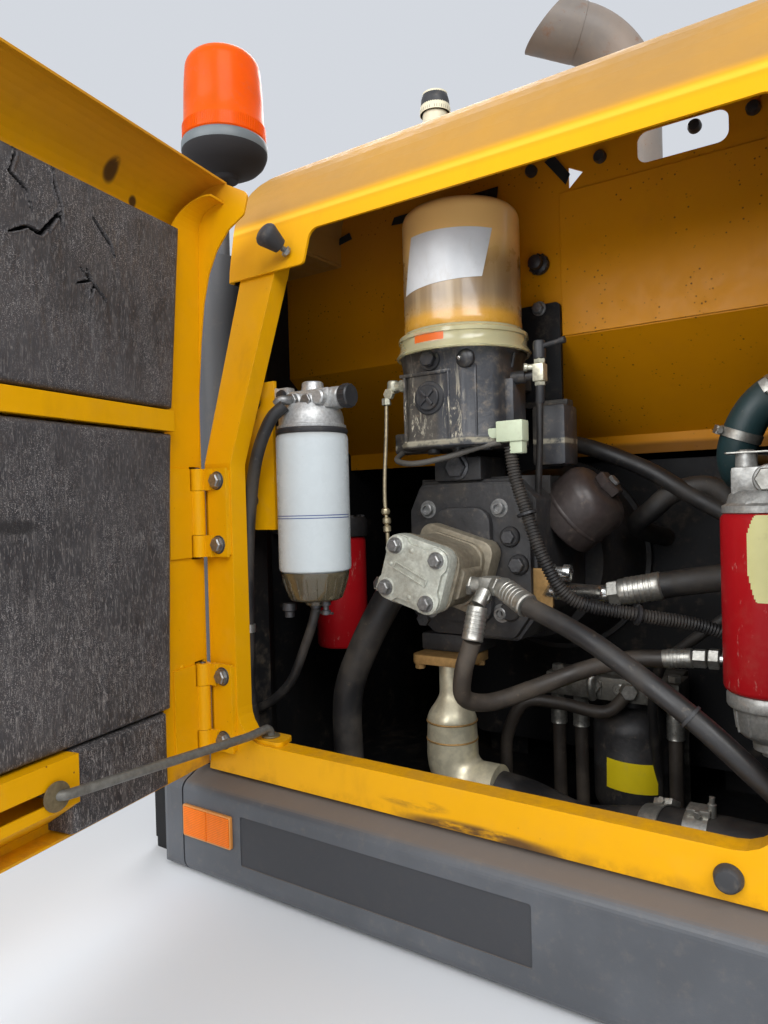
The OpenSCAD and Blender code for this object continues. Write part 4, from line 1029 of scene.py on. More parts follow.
def crack_depth(s, z):
    """How far inside a crack a point of the foam lies: 1 in its middle, 0 at its rim, less outside."""
    here, deepest = Vector((s, z)), -9.0
    for line, width in CRACKS:
        if not (min(p[0] for p in line) - 6 < s < max(p[0] for p in line) + 6):
            continue
        total = len(line) - 1
        for i in range(total):
            a, b = Vector(line[i]), Vector(line[i + 1])
            t = max(0.0, min(1.0, (here - a).dot(b - a) / (b - a).length_squared))
            taper = 1.0 - 0.75 * abs((i + t) / total * 2 - 1) ** 2
            wander = 1.6 * noise.noise(Vector((s * 0.09, z * 0.09, 3.0)))
            gap = abs((here - (a + (b - a) * t)).length + wander * 0.6)
            deepest = max(deepest, 1.0 - gap / (width * taper))
    return deepest


def foam_hinge_edge(z):
    """The foam's edge on the hinge side."""
    return 83 - 22 * z / 480 if z < 480 else 61 - 18 * (z - 480) / 265


def spaced(start, end, coarse, fine=None, zone=None, edge=(0.0, 1.2, 3.0, 5.5, 9.0)):
    """Grid lines from start to end, closer at both ends and in one zone."""
    lines = {round(start + e, 3) for e in edge} | {round(end - e, 3) for e in edge}
    at = start + edge[-1]
    while at < end - edge[-1]:
        lines.add(round(at, 3))
        at += fine if zone and zone[0] < at < zone[1] else coarse
    return sorted(lines)


def foam_pad(name, s_lines, z_lines, left, relief, seed):
    """A closed foam pad with rounded edges, lumps and cracks."""
    s0, s1, z0, z1 = s_lines[0], s_lines[-1], z_lines[0], z_lines[-1]
    points, cracks = [], []
    thick, soft = 41.5, 7.0  # the pad's thickness and the radius of its edges
    groove, lip, reach = 11.0, 1.1, 1.6  # a crack's depth, its raised lip and how far out the lip starts

    def back_at(z):
        """The pad's back: upright up to z 430, leaning inward above it."""
        return -31.5 + max(0.0, z - 430.0) * 8.6 / 311.0

    for layer in (0, 1):
        for z in z_lines:
            edge = left(z)
            for line in s_lines:
                s = edge + (line - s0) * (s1 - edge) / (s1 - s0)
                n = back_at(z)
                deep = -9.0
                if layer == 0:
                    rim = min(s - edge, s1 - s, z - z0, z1 - z)
                    n += thick - (soft - math.sqrt(max(0.0, soft ** 2 - (soft - min(rim, soft)) ** 2)))
                    place = Vector((s / 34.0, z / 46.0, seed))
                    n += relief * (noise.noise(place) * 0.8 + noise.noise(place * 4.1) * 0.35) * min(rim / 12.0, 1)
                    deep = crack_depth(s, z) if z0 > 400 else -9.0
                    if deep > 0:
                        n -= groove * min(1.0, deep * 2.2)
                    elif deep > -reach:
                        n += lip * (1.0 + deep / reach)
                points.append((s, n, z))
                cracks.append(min(1.0, deep * 2.5) if deep > 0 else max(-1.0, deep))
    shape = Shape().add(points, sheet_faces(len(s_lines), len(z_lines)))
    piece = make(name, shape, "foam", "door_foam", body="door", merge=False)
    marks = piece.data.attributes.new("crack", "FLOAT", "POINT")
    marks.data.foreach_set("value", cracks)
    return piece


class BAY_OT_door_foam(bpy.types.Operator):
    """Cracked sound-proofing foam in the door"""
    bl_idname = "bay.door_foam"
    bl_label = "Door foam"

    def execute(self, context):
        relief = context.scene.bay_sizes.foam_grain
        foam_pad("door_foam_upper", spaced(62, 678, 7.0, 1.5, (148, 318)), spaced(500, 740, 7.0, 1.5, (600, 731)),
            foam_hinge_edge, relief, 1.0)
        foam_pad("door_foam_lower", spaced(84, 678, 6.0), spaced(110, 467, 6.0), foam_hinge_edge, relief, 5.0)
        foam_pad("door_foam_low_block", spaced(86, 240, 5.0), spaced(14, 107, 5.0), lambda z: 86.0, relief, 9.0)
        return {"FINISHED"}


class BAY_OT_door_fittings(bpy.types.Operator):
    """Welded ribs and dimples, hinge bolts and pins"""
    bl_idname = "bay.door_fittings"
    bl_label = "Door fittings"

    def execute(self, context):
        bolt = context.scene.bay_sizes.hinge_bolt
        dots = [((27 + 0.04 * (391 - z), -5, z), (0, 1, 0), 8.5) for z in (391, 353, 320, 154, 124, 95, 77)]
        grown("door_weld_dimples", point_mesh("dimples", dots, "door"), dimple_tree(), {"Height": 0.28}, "door",
            body="door")
        places = [(45, z + k) for z in LEAF_FEET for k in (17, 105)]
        washers = Shape()
        for x, z in places:
            washers.turned((x, -7.9, z), FRONT, [(12.6, 0), (12.8, 0.6), (12.2, 1.6), (9.5, 1.8), (0, 1.8)], 40)
        make("hinge_washers", washers, "black_plastic", slot="dark_paint")
        heads = [((x, -9.5, z), FRONT, bolt) for x, z in places]
        grown("hinge_bolts", point_mesh("hinge_bolt_points", heads), bolt_tree(),
            {"Head height": 0.27, "Flange radius": 0.66, "Flange height": 0.06}, "steel")
        pins = Shape()
        for z in LEAF_FEET:
            for at, way in ((z + 121.8, 1), (z + 0.2, -1)):
                pins.turned((14, -15, at), (0, 0, way), [(4.2, 0), (4.4, 0.6), (3.6, 1.8), (0, 2.2)], 24)
        make("hinge_pins", pins, "dark_steel")
        ribs = Shape()
        ribs.swept(smooth_path([(60, -1.5, 486), (52, -2.2, 600), (44, 2, 690), (38, 8, 738)], 6), 1.6, 10)
        make("door_border_bead", ribs, "door", body="door")
        return {"FINISHED"}


class BAY_OT_stay(bpy.types.Operator):
    """Door stay: bent rod, washers and hook"""
    bl_idname = "bay.stay"
    bl_label = "Door stay"

    def execute(self, context):
        bend, hook = 9.0, 11  # radii
        low = Vector((104, 22, 50.6))
        knee = Vector((104, 22, 63))
        far = Vector((93, -283, 73))
        heading = math.radians(270 - 5.5) - DOOR_OPEN
        back = Vector((math.cos(heading), math.sin(heading), 0))
        start = (far - knee).normalized()
        quarter = [math.pi / 2 * k / 6 for k in range(7)]
        path = [low, Vector((104, 22, 56))]
        path += [knee + Vector((0, 0, 3.2)) + start * (bend * (1 - math.cos(a))) - UP * (bend * (1 - math.sin(a)))
            for a in quarter]
        path += [knee + start * 40, knee + start * 150, far - start * 16]
        path += [far - start * 12 + start * (hook * math.sin(a)) + back * (hook * (1 - math.cos(a)))
            for a in quarter[1:]]
        path += [far + back * 33]
        rod = Shape().swept(path, 5.6, 20)
        make("stay_rod_bar", rod, "rod", "stay_rod", body="stay")
        washers = Shape()
        washers.turned(knee + Vector((0, 0, -8.5)), UP, [(6, 0), (12.6, 0.1), (12.9, 0.9), (12.4, 1.8), (6, 1.9)], 32)
        washers.turned(far + back * 2.6, back, [(5.8, 0), (15.6, 0.1), (15.9, 0.9), (15.6, 2.3), (5.8, 2.4)], 36)
        make("stay_washers", washers, "worn_washer", body="stay")
        return {"FINISHED"}


# ---------------------------------------------------------------- outside trim


class BAY_OT_beacon(bpy.types.Operator):
    """Warning beacon: rubber foot, ring, ribbed lens and reflector"""
    bl_idname = "bay.beacon"
    bl_label = "Warning beacon"

    def execute(self, context):
        foot = Vector((-105, 172, 916))
        base = Shape().turned(foot, UP, [(0, 0), (20, 0), (22, 2), (23, 7), (30, 10), (44, 15), (57, 22), (65, 30),
            (69, 38), (70.6, 43), (70.8, 46), (0, 46)], 64)
        make("beacon_foot", base, "beacon_black", "beacon_base")
        ring = Shape().turned(foot, UP, [(60, 45), (70.8, 45.5), (71.4, 48), (71.2, 58), (69.5, 62), (66.5, 64),
            (60, 64)], 64)
        make("beacon_ring", ring, "grey_ring")
        lens = foot + Vector((0, 0, 64))
        outer = [(66.5, 0), (68.5, 1.5), (68.5, 24), (66.4, 29), (65.6, 60), (64.2, 95), (62.6, 113)]
        dome = [(62.2 - 26 * (1 - math.cos(a)), 117 + 26 * math.sin(a))
            for a in [math.pi / 2 * k / 10 for k in range(11)]]
        wall = outer + dome + [(0, 143.8), (0, 141)]
        wall += [(max(r - 2.6, 0.0), z - (2.6 if z > 118 else 0)) for r, z in reversed(dome)]
        wall += [(r - 2.6, z) for r, z in reversed(outer[1:])] + [(63, 0), (66.5, 0)]
        make("beacon_lens_shell", Shape().turned(lens, UP, wall, 72), "lens", "beacon_lens")
        ribs = context.scene.bay_sizes.lens_ribs
        grown("beacon_lens_ribs", bpy.data.meshes.new("rib_ring"), rib_tree(),
            {"Count": ribs, "Radius": 0.0682, "Width": 0.0017, "Depth": 0.0022, "Length": 0.020}, "lens",
            place=bay_point(lens + Vector((0, 0, 12))))
        middle = foot + Vector((0, 0, 60))
        mirror = Shape()
        mirror.turned(middle + Vector((-20, 0, 62)), RIGHT, [(0, 0), (12, 1), (24, 6), (33, 15), (38, 27), (36.6, 27),
            (31.6, 15.6), (23, 7.4), (12, 2.6), (0, 1.6)], 40)
        mirror.turned(middle, UP, [(0, 0), (21, 0), (22, 2), (22, 12), (20, 14), (0, 14)], 40)
        mirror.turned(middle + Vector((0, 0, 13)), UP, [(0, 0), (5.8, 0), (5.8, 38), (8, 42), (8, 66), (5, 72),
            (0, 73)], 24)
        make("beacon_mirror", mirror, "mirror", "beacon_rotor", body="rotor")
        return {"FINISHED"}


class BAY_OT_trim(bpy.types.Operator):
    """Reflector, rubber stops and their stud"""
    bl_idname = "bay.trim"
    bl_label = "Trim"

    def execute(self, context):
        edge = Shape().plate(rectangle(-20, -90, 74, -46, 3), (0, -25, 0), RIGHT, UP, 4.6, 0.8)
        make("reflector_body", edge, "reflector_edge", "skirt_reflector")
        face = Shape()
        face.plate(rectangle(-17.5, -87.5, 25.5, -48.5, 1.5), (0, -29, 0), RIGHT, UP, 1.6, 0.5)
        face.plate(rectangle(28.5, -87.5, 71.5, -48.5, 1.5), (0, -29, 0), RIGHT, UP, 1.6, 0.5)
        make("reflector_prisms", face, "reflector")
        rib = Shape().plate(rectangle(25.8, -88, 28.2, -48, 0.8), (0, -29, 0), RIGHT, UP, 2.1, 0.5)
        make("reflector_rib", rib, "reflector")
        stops = Shape()
        stops.turned((683, 0, 22), FRONT, [(0, 0), (13, 0), (13.2, 2), (12.6, 3.4), (12.2, 6), (11.4, 9), (9.6, 10.8),
            (6, 11.3), (0, 11.4)], 40)
        foot, direction = Vector((124, 63.8, 719.4)), Vector((-18, -46, 30))
        stops.turned(foot, direction, [(9.2, 14), (10.4, 14.7), (11.2, 17.5), (14.4, 28.5), (16.9, 36.5), (17.2, 39.5),
            (16.2, 42.5), (13, 46), (8, 48.1), (0, 48.7)], 40)
        make("stop_rubbers", stops, "rubber", "rubber_stops")
        stud = Shape()
        profile = [(0, 0), (3.6, 0), (3.6, 5)]
        for k in range(7):
            profile += [(3.6, 5.2 + k * 1.3), (4.2, 5.7 + k * 1.3), (4.2, 6.0 + k * 1.3)]
        stud.turned(foot, direction, profile + [(3.6, 14.6), (0, 14.6)], 20)
        nut(stud, foot + direction.normalized() * 1.2, direction, 13, 5.5)
        make("stop_stud", stud, "steel")
        return {"FINISHED"}


# ---------------------------------------------------------------- filters


def bent_label(shape, centre, radius, corners, thickness=0.4):
    """A thin label bent round an upright cylinder; corners are (heading in degrees, height), from the top left."""
    across, high = 37, 11
    points = []
    for r in (radius, radius + thickness):
        for j in range(high):
            for i in range(across):
                u, v = i / (across - 1), j / (high - 1)
                top = [a + (b - a) * u for a, b in zip(corners[0], corners[1])]
                low = [a + (b - a) * u for a, b in zip(corners[3], corners[2])]
                heading, z = (b + (a - b) * v for a, b in zip(top, low))
                a = math.radians(heading)
                points.append((centre[0] + r * math.cos(a), centre[1] + r * math.sin(a), z))
    return shape.add(points, sheet_faces(across, high, True))


def tube(name, routes, look, *replaces, steps=8, sides=20):
    """Hoses held along their routes, each a list of points and a radius."""
    shape = Shape()
    for route, radius in routes:
        shape.swept(smooth_path(route, steps), radius, sides)
    return make(name, shape, look, *replaces)


class BAY_OT_fuel_filter(bpy.types.Operator):
    """Fuel filter: alloy head, white can, smoky bowl, knob and fittings"""
    bl_idname = "bay.fuel_filter"
    bl_label = "Fuel filter"

    def execute(self, context):
        x, y = 135, 90
        head = Shape()
        head.turned((x, y, 475), UP, [(0, 0), (48.5, 0), (49, 1), (49, 5), (46, 6.5), (46, 16), (44, 24), (40, 30),
            (38, 34), (30, 36), (0, 36)], 56)
        head.block((x - 50, y - 18, 502), (x + 46, y + 18, 530), 5)
        head.block((x - 68, 71, 497), (x - 26, 88, 537), 4)
        head.turned((x - 48, 72, 527), FRONT, [(10, -10), (10, 3), (8, 4), (0, 4)], 24)
        for sx, sz, r in ((-8, 514, 11), (16, 512, 10), (34, 516, 9)):
            head.turned((x + sx, y - 14, sz), FRONT, [(r + 1.5, 0), (r + 1, 13), (r - 1, 15), (0, 15)], 28)
        head.turned((x + 4, y, 528), UP, [(17, 0), (15.5, 6), (15, 12.5), (13, 14), (0, 14)], 32)
        head.turned((x + 40, y, 517), RIGHT, [(15, 0), (14.5, 14), (12, 16), (0, 16)], 28)
        for k in range(4):
            head.block((x - 40 + k * 9, y - 21.5, 500), (x - 37.5 + k * 9, y - 15, 524), 1)
        make("fuel_filter_head", head, "filter_alloy", "filter_head")
        ring = Shape()
        ring.turned((x, y, 468), UP, [(44, 0), (50, 0.5), (51, 2), (51, 6), (49.5, 8), (44, 8)], 56)
        ring.turned((x + 56, y, 517), RIGHT, [(10, -3), (10, 1), (15.5, 2), (16, 4), (16, 14), (14.5, 16), (0, 16)], 30)
        ring.turned((48, 66, 520), FRONT, [(6, 0), (13, 0.2), (13.4, 2.5), (12, 3.2), (9, 3.4), (8.6, 8), (0, 9)], 32)
        ring.turned((x - 36, 70, 525), FRONT, [(5, 0), (8.5, 0.2), (8.5, 2), (6.6, 2.4), (6.4, 6), (0, 6.6)], 24)
        knurls = 14
        for k in range(knurls):
            a = 2 * math.pi * k / knurls
            c = Vector((x + 65, y + 15.4 * math.cos(a), 517 + 15.4 * math.sin(a)))
            ring.swept([c - Vector((5, 0, 0)), c + Vector((5, 0, 0))], 1.6, 6)
        make("fuel_filter_black_parts", ring, "black_plastic")
        can = Shape().turned((x, y, 275), UP, [(0, 1), (41, 1), (43, 0), (47, 0.8), (50, 3), (51, 7), (51, 186),
            (50.4, 190), (48.6, 193), (45, 194.5), (0, 194.5)], 72)
        make("fuel_filter_can", can, "white_can", "filter_can")
        lines = Shape()
        for z in (350.6, 354.2):
            band_patch(lines, (x, y), 51.0, -180, 20, z, z + 1.1, 0.25, 40)
        make("fuel_filter_blue_lines", lines, "blue_line")
        bowl = Shape().turned((x, y, 227), UP, [(0, 1), (13, 0), (15, 1), (16, 6), (30, 7.5), (35, 9), (38, 12),
            (42, 24), (46.5, 40), (48, 46), (48, 48.5), (0, 48.5)], 56)
        c = Vector((x, y, 227))
        for w in spokes(20, 0.3):
            bowl.swept([c + w * 36.5 + UP * 11, c + w * 41.6 + UP * 25, c + w * 46 + UP * 40], 1.3, 8)
        make("fuel_filter_bowl", bowl, "bowl", "filter_bowl")
        drain = Shape()
        drain.turned((x, y, 229), -UP, [(9, 0), (9, 5), (6, 6), (6, 11), (0, 11)], 24)
        drain.turned((x + 22, y - 6, 234), -UP, [(7, 0), (7, 5), (4, 6), (4, 12), (6.5, 12.5), (6.5, 18), (3, 19),
            (0, 19)], 18)
        drain.swept([(x + 12, y - 6, 218), (x + 34, y - 6, 218)], 1.8, 8)
        drain.turned((x - 42, y - 10, 229), (0, 0, -1), [(9, 0), (10, 3), (10, 10), (7, 12), (7, 20), (0, 20)], 20)
        make("fuel_filter_drain", drain, "dark_steel", slot="black_rubber")
        elbow = Shape()
        nut(elbow, (x - 8, y - 29, 514), FRONT, 18, 7)
        elbow.swept(smooth_path([(x - 8, y - 34, 514), (x - 9, y - 43, 514), (x - 14, y - 49, 513),
            (x - 20, y - 50, 509)], 5), 6.4, 16)
        nut(elbow, (x + 16, y - 28, 512), FRONT, 16, 5)
        make("fuel_filter_elbow", elbow, "steel")
        heads = [((48, 58, 520), FRONT, 13), ((42, 66, 378), FRONT, 13)]
        grown("filter_bracket_bolts", point_mesh("bracket_bolts", heads), bolt_tree(), {"Head height": 0.5},
            "dark_steel")
        return {"FINISHED"}


class BAY_OT_red_filters(bpy.types.Operator):
    """Return filter with its red can, and the small red can further in"""
    bl_idname = "bay.red_filters"
    bl_label = "Red filters"

    def execute(self, context):
        x, y = 696, 215
        head = Shape()
        head.turned((x, y, 346), UP, [(0, 0), (46, 0), (49, 1.5), (49, 9), (44, 12), (41, 22), (36, 26), (0, 26)], 56)
        head.block((x - 36, y - 24, 366), (x + 60, y + 24, 399), 5)
        head.block((x + 38, y - 20, 368), (789, y + 20, 394), 4)
        for sx in (-22, 16):
            head.turned((x + sx, y, 397), UP, [(12.5, 0), (12, 3), (11.5, 19), (10, 20.5), (0, 20.5)], 32)
        head.turned((x + 4, y - 20, 384), FRONT, [(17, 0), (16.5, 10), (15, 12), (0, 12)], 32)
        head.turned((x - 14, y - 22, 355), FRONT, [(5, 0), (5, 20), (0, 20)], 20)
        make("return_filter_head", head, "alloy", "red_filter_head")
        trim = Shape()
        nut(trim, (x + 4, y - 30, 384), FRONT, 24, 10)
        nut(trim, (x - 22, y, 416), UP, 15, 2.8)
        trim.plate(rectangle(-44, -14, 60, 14, 4), (x, y, 414.4), RIGHT, (0, 1, 0), 1.8, 0.4)
        make("return_filter_fittings", trim, "ferrule")
        can = Shape().turned((x, y, 143), UP, [(0, 0), (42, 0), (46, 0.6), (49.5, 3), (51, 7), (51, 197), (50, 200),
            (47, 203), (0, 203)], 72)
        make("return_filter_can", can, "red_can", "red_filter_can")
        label = band_patch(Shape(), (x, y), 51.0, -98, -30, 250, 345, 0.35, 28)
        for k in range(6):
            a, b = -98 - k * 1.8, -99.8 - k * 1.8
            low = 12 * (1 - math.cos(math.pi / 2 * (k + 1) / 6))
            band_patch(label, (x, y), 51.0, b, a, 250 + low * 2.4, 345 - low * 1.6, 0.35, 2)
        make("return_filter_label", label, "pale_label")
        base = Shape().turned((x, y, 77), UP, [(0, -6), (12, -6), (12.5, -2), (19, 0), (21, 1), (22, 10), (32, 16),
            (35, 19), (38, 24), (40.5, 45), (41.5, 48), (47, 50), (48, 52), (48, 63), (46, 66), (0, 66)], 56)
        for w in spokes(12):
            base.swept([Vector((x, y, 98)) + w * 37.5, Vector((x, y, 122)) + w * 40.5], 1.6, 8)
        make("return_filter_base", base, "alloy", "red_filter_base")
        rear = Shape().turned((18, 300, 124), UP, [(0, 0), (36, 0), (41, 1.5), (44, 6), (44, 182), (42, 188), (39, 190),
            (0, 190)], 56)
        make("rear_filter_can", rear, "red_can", "rear_filter")
        mount = Shape()
        mount.turned((18, 300, 314), UP, [(0, 0), (47, 0), (48, 2), (48, 26), (44, 33), (0, 34)], 48)
        mount.block((-131, 284, 318), (-11, 316, 344), 4)
        for k in range(8):
            a = 2 * math.pi * (k + 0.5) / 8
            mount.turned((18 + 40 * math.cos(a), 300 + 40 * math.sin(a), 346), UP, [(5, 0), (5, 4), (0, 4)], 6)
        make("rear_filter_mount", mount, "cast")
        return {"FINISHED"}


# ---------------------------------------------------------------- grease pump


class BAY_OT_grease_pump(bpy.types.Operator):
    """Grease pump: cast body, clear collar, amber reservoir, lines and fittings"""
    bl_idname = "bay.grease_pump"
    bl_label = "Grease pump"

    def execute(self, context):
        x, y, z = 300, 240, 443
        body = Shape()
        outline = rounded([(-78, -54), (-54, -78), (42, -78), (78, -44), (78, 54), (54, 78), (-54, 78), (-78, 54)],
            [14, 14, 20, 20, 14, 14, 14, 14], 4)
        body.add(*self.prism(outline, (x, y), [(z + 0.5, 0.93), (z + 2.5, 0.975), (z + 9, 0.985), (z + 12, 0.955),
            (z + 16, 0.94), (z + 84, 0.935), (z + 112, 0.935), (z + 128, 0.96), (z + 136, 1.0)]))
        body.turned((x, y, z + 128), UP, [(72, 0), (79, 4), (81, 8), (81, 24), (76, 25), (0, 25)], 64)
        body.block((x - 64, y - 18, z + 88), (x + 64, y + 98, z + 130), 4)
        body.block((x + 40, y - 18, z + 30), (x + 85, y + 26, z + 94), 4)
        body.block((x - 106, y - 26, z - 1), (x - 62, y + 8, z + 29), 3)
        body.block((x - 64, 165, z + 102), (x + 18, 175, z + 107), 1.5)
        body.block((x - 58, 165, z + 10), (x - 54, 172, z + 103), 1.2)
        body.block((x + 12, 165, z + 10), (x + 16, 172, z + 103), 1.2)
        body.block((x + 44, y - 64, z + 12), (x + 52, y - 50, z + 112), 2.5)
        for k in range(7):
            a = math.radians(-140 + 36 * k)
            w = Vector((math.cos(a), math.sin(a), 0))
            body.swept([Vector((x, y, z + 112)) + w * 73, Vector((x, y, z + 132)) + w * 78], 2.4, 8)
        body.turned((x - 30, y - 40, z + 1), -UP, [(11, -4), (10, 5), (8, 7), (0, 7)], 24)
        body.turned((x + 12, y - 44, z + 1), -UP, [(9, -4), (8, 8), (0, 9)], 24)
        body.turned((x + 44, y - 24, z + 1), -UP, [(9, -4), (8, 4), (0, 5)], 24)
        body.block((x + 84, y + 44, z - 26), (x + 134, y + 98, z + 60), 6)
        body.block((x + 60, y + 72, z + 60), (x + 128, y + 98, z + 70), 3)
        make("grease_pump_body", body, "pump_cast", "grease_body")
        plugs = Shape()
        front = y - 73
        nut(plugs, (x - 13, front, z + 123), FRONT, 19, 12)
        plugs.turned((x - 13, front + 3, z + 123), FRONT, [(16, 0), (16.4, 3), (15, 6), (0, 6)], 36)
        plugs.turned((x + 40, front + 6, z + 118), FRONT, [(13, 0), (13, 6), (11.5, 8), (7, 11), (3.2, 11.6),
            (0, 11.6)], 32)
        plugs.turned((x - 16, front + 2, z + 70), FRONT, [(23, 0), (23.5, 3), (22, 5), (18, 5.4), (17.4, 9), (16.4, 10),
            (0, 10)], 44)
        for a in (0.75, 0.75 + math.pi / 2):
            c = Vector((x - 16, front - 8.6, z + 70))
            plugs.block(c - Vector((14, 2.6, 2.4)), c + Vector((14, 2.6, 2.4)), 1.2, Matrix.Rotation(-a, 3, "Y"), c)
        plugs.turned((378, 345, 722), FRONT, [(15, -1), (15.5, 3), (14, 6), (9, 8), (8.4, 13), (10.5, 16), (10, 22),
            (6, 24), (0, 24)], 36)
        for k in range(12):
            a = 2 * math.pi * k / 12
            c = Vector((378 + 14.6 * math.cos(a), 342, 722 + 14.6 * math.sin(a)))
            plugs.swept([c, c - Vector((0, 5, 0))], 1.7, 6)
        make("grease_pump_plugs", plugs, "black_plastic")
        shine = Shape().turned((x + 35, front - 5, z + 118), FRONT, [(3.2, 0), (3.4, 1), (2.2, 3), (0, 3.4)], 20)
        make("grease_pump_ball", shine, "bright_tube")
        collar = Shape().turned((x, y, z + 131), UP, [(91, 1), (96, 1), (97.2, 3), (96, 6), (92.5, 10), (91, 21),
            (91.8, 23), (93.6, 24), (93.6, 29), (91, 31), (88.5, 32), (87, 35), (80, 35), (80, 33), (87.5, 20),
            (88.5, 11), (91, 6), (91, 1)], 84)
        collar.turned((x, y, z + 150), UP, [(0, 0), (79, 0), (79, 15), (0, 15)], 64)
        make("grease_collar_ring", collar, "collar", "grease_collar")
        tank = Shape().turned((x, y, z + 166.5), UP, [(0, 0), (84.4, 0), (85, 1), (85, 10), (84.4, 12), (84.4, 157.5),
            (83.6, 162.5), (81.5, 167.5), (77, 172), (70, 174.5), (60, 175.5), (0, 175.5)], 96)
        make("grease_tank", tank, "amber", "grease_reservoir")
        label = bent_label(Shape(), (x, y), 84.5, [(-115.8, 737.8), (-32, 735.7), (-43.2, 670), (-130.6, 661.6)])
        make("grease_tank_label", label, "white_label")
        patch = bent_label(Shape(), (x, y), 91.6, [(-108.3, 602), (-78.7, 598), (-78.7, 585), (-108.3, 587)])
        make("grease_collar_patch", patch, "orange_patch")
        self.fittings(x, y, z)
        return {"FINISHED"}

    def prism(self, outline, centre, rings):
        """A stack of outlines, each at its height and scale."""
        points = []
        for z, scale in rings:
            points += [(centre[0] + a * scale, centre[1] + b * scale, z) for a, b in outline]
        return points, ring_faces(len(rings), len(outline))

    def fittings(self, x, y, z):
        joint = Shape()
        joint.block((x + 76, y - 58, 446), (x + 114, y - 36, 474), 2)
        joint.block((x + 94, y - 55, 430), (x + 112, y - 38, 452), 2)
        joint.block((x + 60, y - 52, 452), (x + 76, y - 40, 466), 2)
        make("grease_sensor_plug", joint, "connector", "grease_fittings")
        brass = Shape()
        brass.block((x + 112, y - 16, 528), (x + 128, y, 552), 2)
        nut(brass, (x + 120, y - 8, 552), UP, 14, 8)
        brass.turned((x + 108, y - 14, 548), (-0.8, -0.5, 0), [(4, -4), (4, 3), (5.4, 4), (5.4, 8), (0, 9)], 18)
        nut(brass, (x + 120, y - 8, 528), -UP, 13, 6)
        make("grease_line_fittings", brass, "pale_zinc")
        elbow = Shape()
        nut(elbow, (226, 204, 541), (-1, 0, 0), 17, 12)
        elbow.turned((214, 204, 541), (-1, 0, 0), [(7, 0), (7, 8), (0, 8)], 20)
        elbow.turned((200, 204, 534), (0, 0.1, 1), [(8.5, 0), (9.6, 2), (9.6, 14), (8, 16), (0, 16)], 24)
        nut(elbow, (199, 198, 530), FRONT, 15, 8)
        nut(elbow, (194, 194, 524), (0, 0, -1), 12, 10)
        make("grease_outlet_elbow", elbow, "pale_zinc")
        cap = Shape()
        cap.turned((x + 80, y - 8, 537), RIGHT, [(9, 0), (9, 20), (6, 21), (6, 34), (0, 34)], 20)
        cap.turned((x + 120, y - 8, 558), UP, [(7, 0), (8.6, 1), (8.6, 22), (7.4, 25), (0, 25)], 28)
        cap.swept(smooth_path([(x + 120, y - 8, 574), (x + 132, y - 10, 576), (x + 152, y - 12, 578)], 5), 3.6, 12)
        cap.turned((x + 150, y - 12, 578), (1, -0.1, 0.1), [(4.4, 0), (4.6, 8), (0, 9)], 14)
        make("grease_nipple_cap", cap, "black_plastic")
        tube("grease_lines", [([(420, 232, 528), (419, 232, 500), (416, 236, 450), (409, 246, 400), (402, 258, 364)],
            4.6)], "hose", sides=14)
        sleeve = Shape().turned((420, 232, 524), (-0.03, 0.02, -1), [(4.8, 0), (6.2, 1), (6.2, 24), (5, 26), (4.6, 26)],
            20)
        make("grease_line_sleeve", sleeve, "black_plastic")
        tube("grease_brass_line", [([(194, 194, 520), (193, 192, 470), (190, 190, 410), (189, 190, 372),
            (191, 190, 344), (193, 190, 300)], 3.0)], "brass", sides=12)
        knots = Shape()
        for k, at in enumerate(((190, 189, 362), (191, 190, 348), (191.4, 190, 336))):
            knots.turned(at, (0.05, 0, -1), [(3, 0), (6, 2), (7 - k * 0.6, 6), (6, 9), (3, 11)], 20)
        make("grease_brass_knots", knots, "brass")
        tube("grease_grey_cable", [([(208, 238, 452), (206, 210, 440), (214, 190, 430), (250, 178, 424),
            (300, 180, 430), (346, 186, 441), (380, 190, 447)], 4.2)], "cable", sides=14)


# ---------------------------------------------------------------- pumps and hydraulics


def tilted(points, centre, degrees):
    """2-D points (x, z) of the gear pump's own axes turned into the bay."""
    a = math.radians(degrees)
    return [(centre[0] + x * math.cos(a) - z * math.sin(a), centre[1] + x * math.sin(a) + z * math.cos(a))
        for x, z in points]


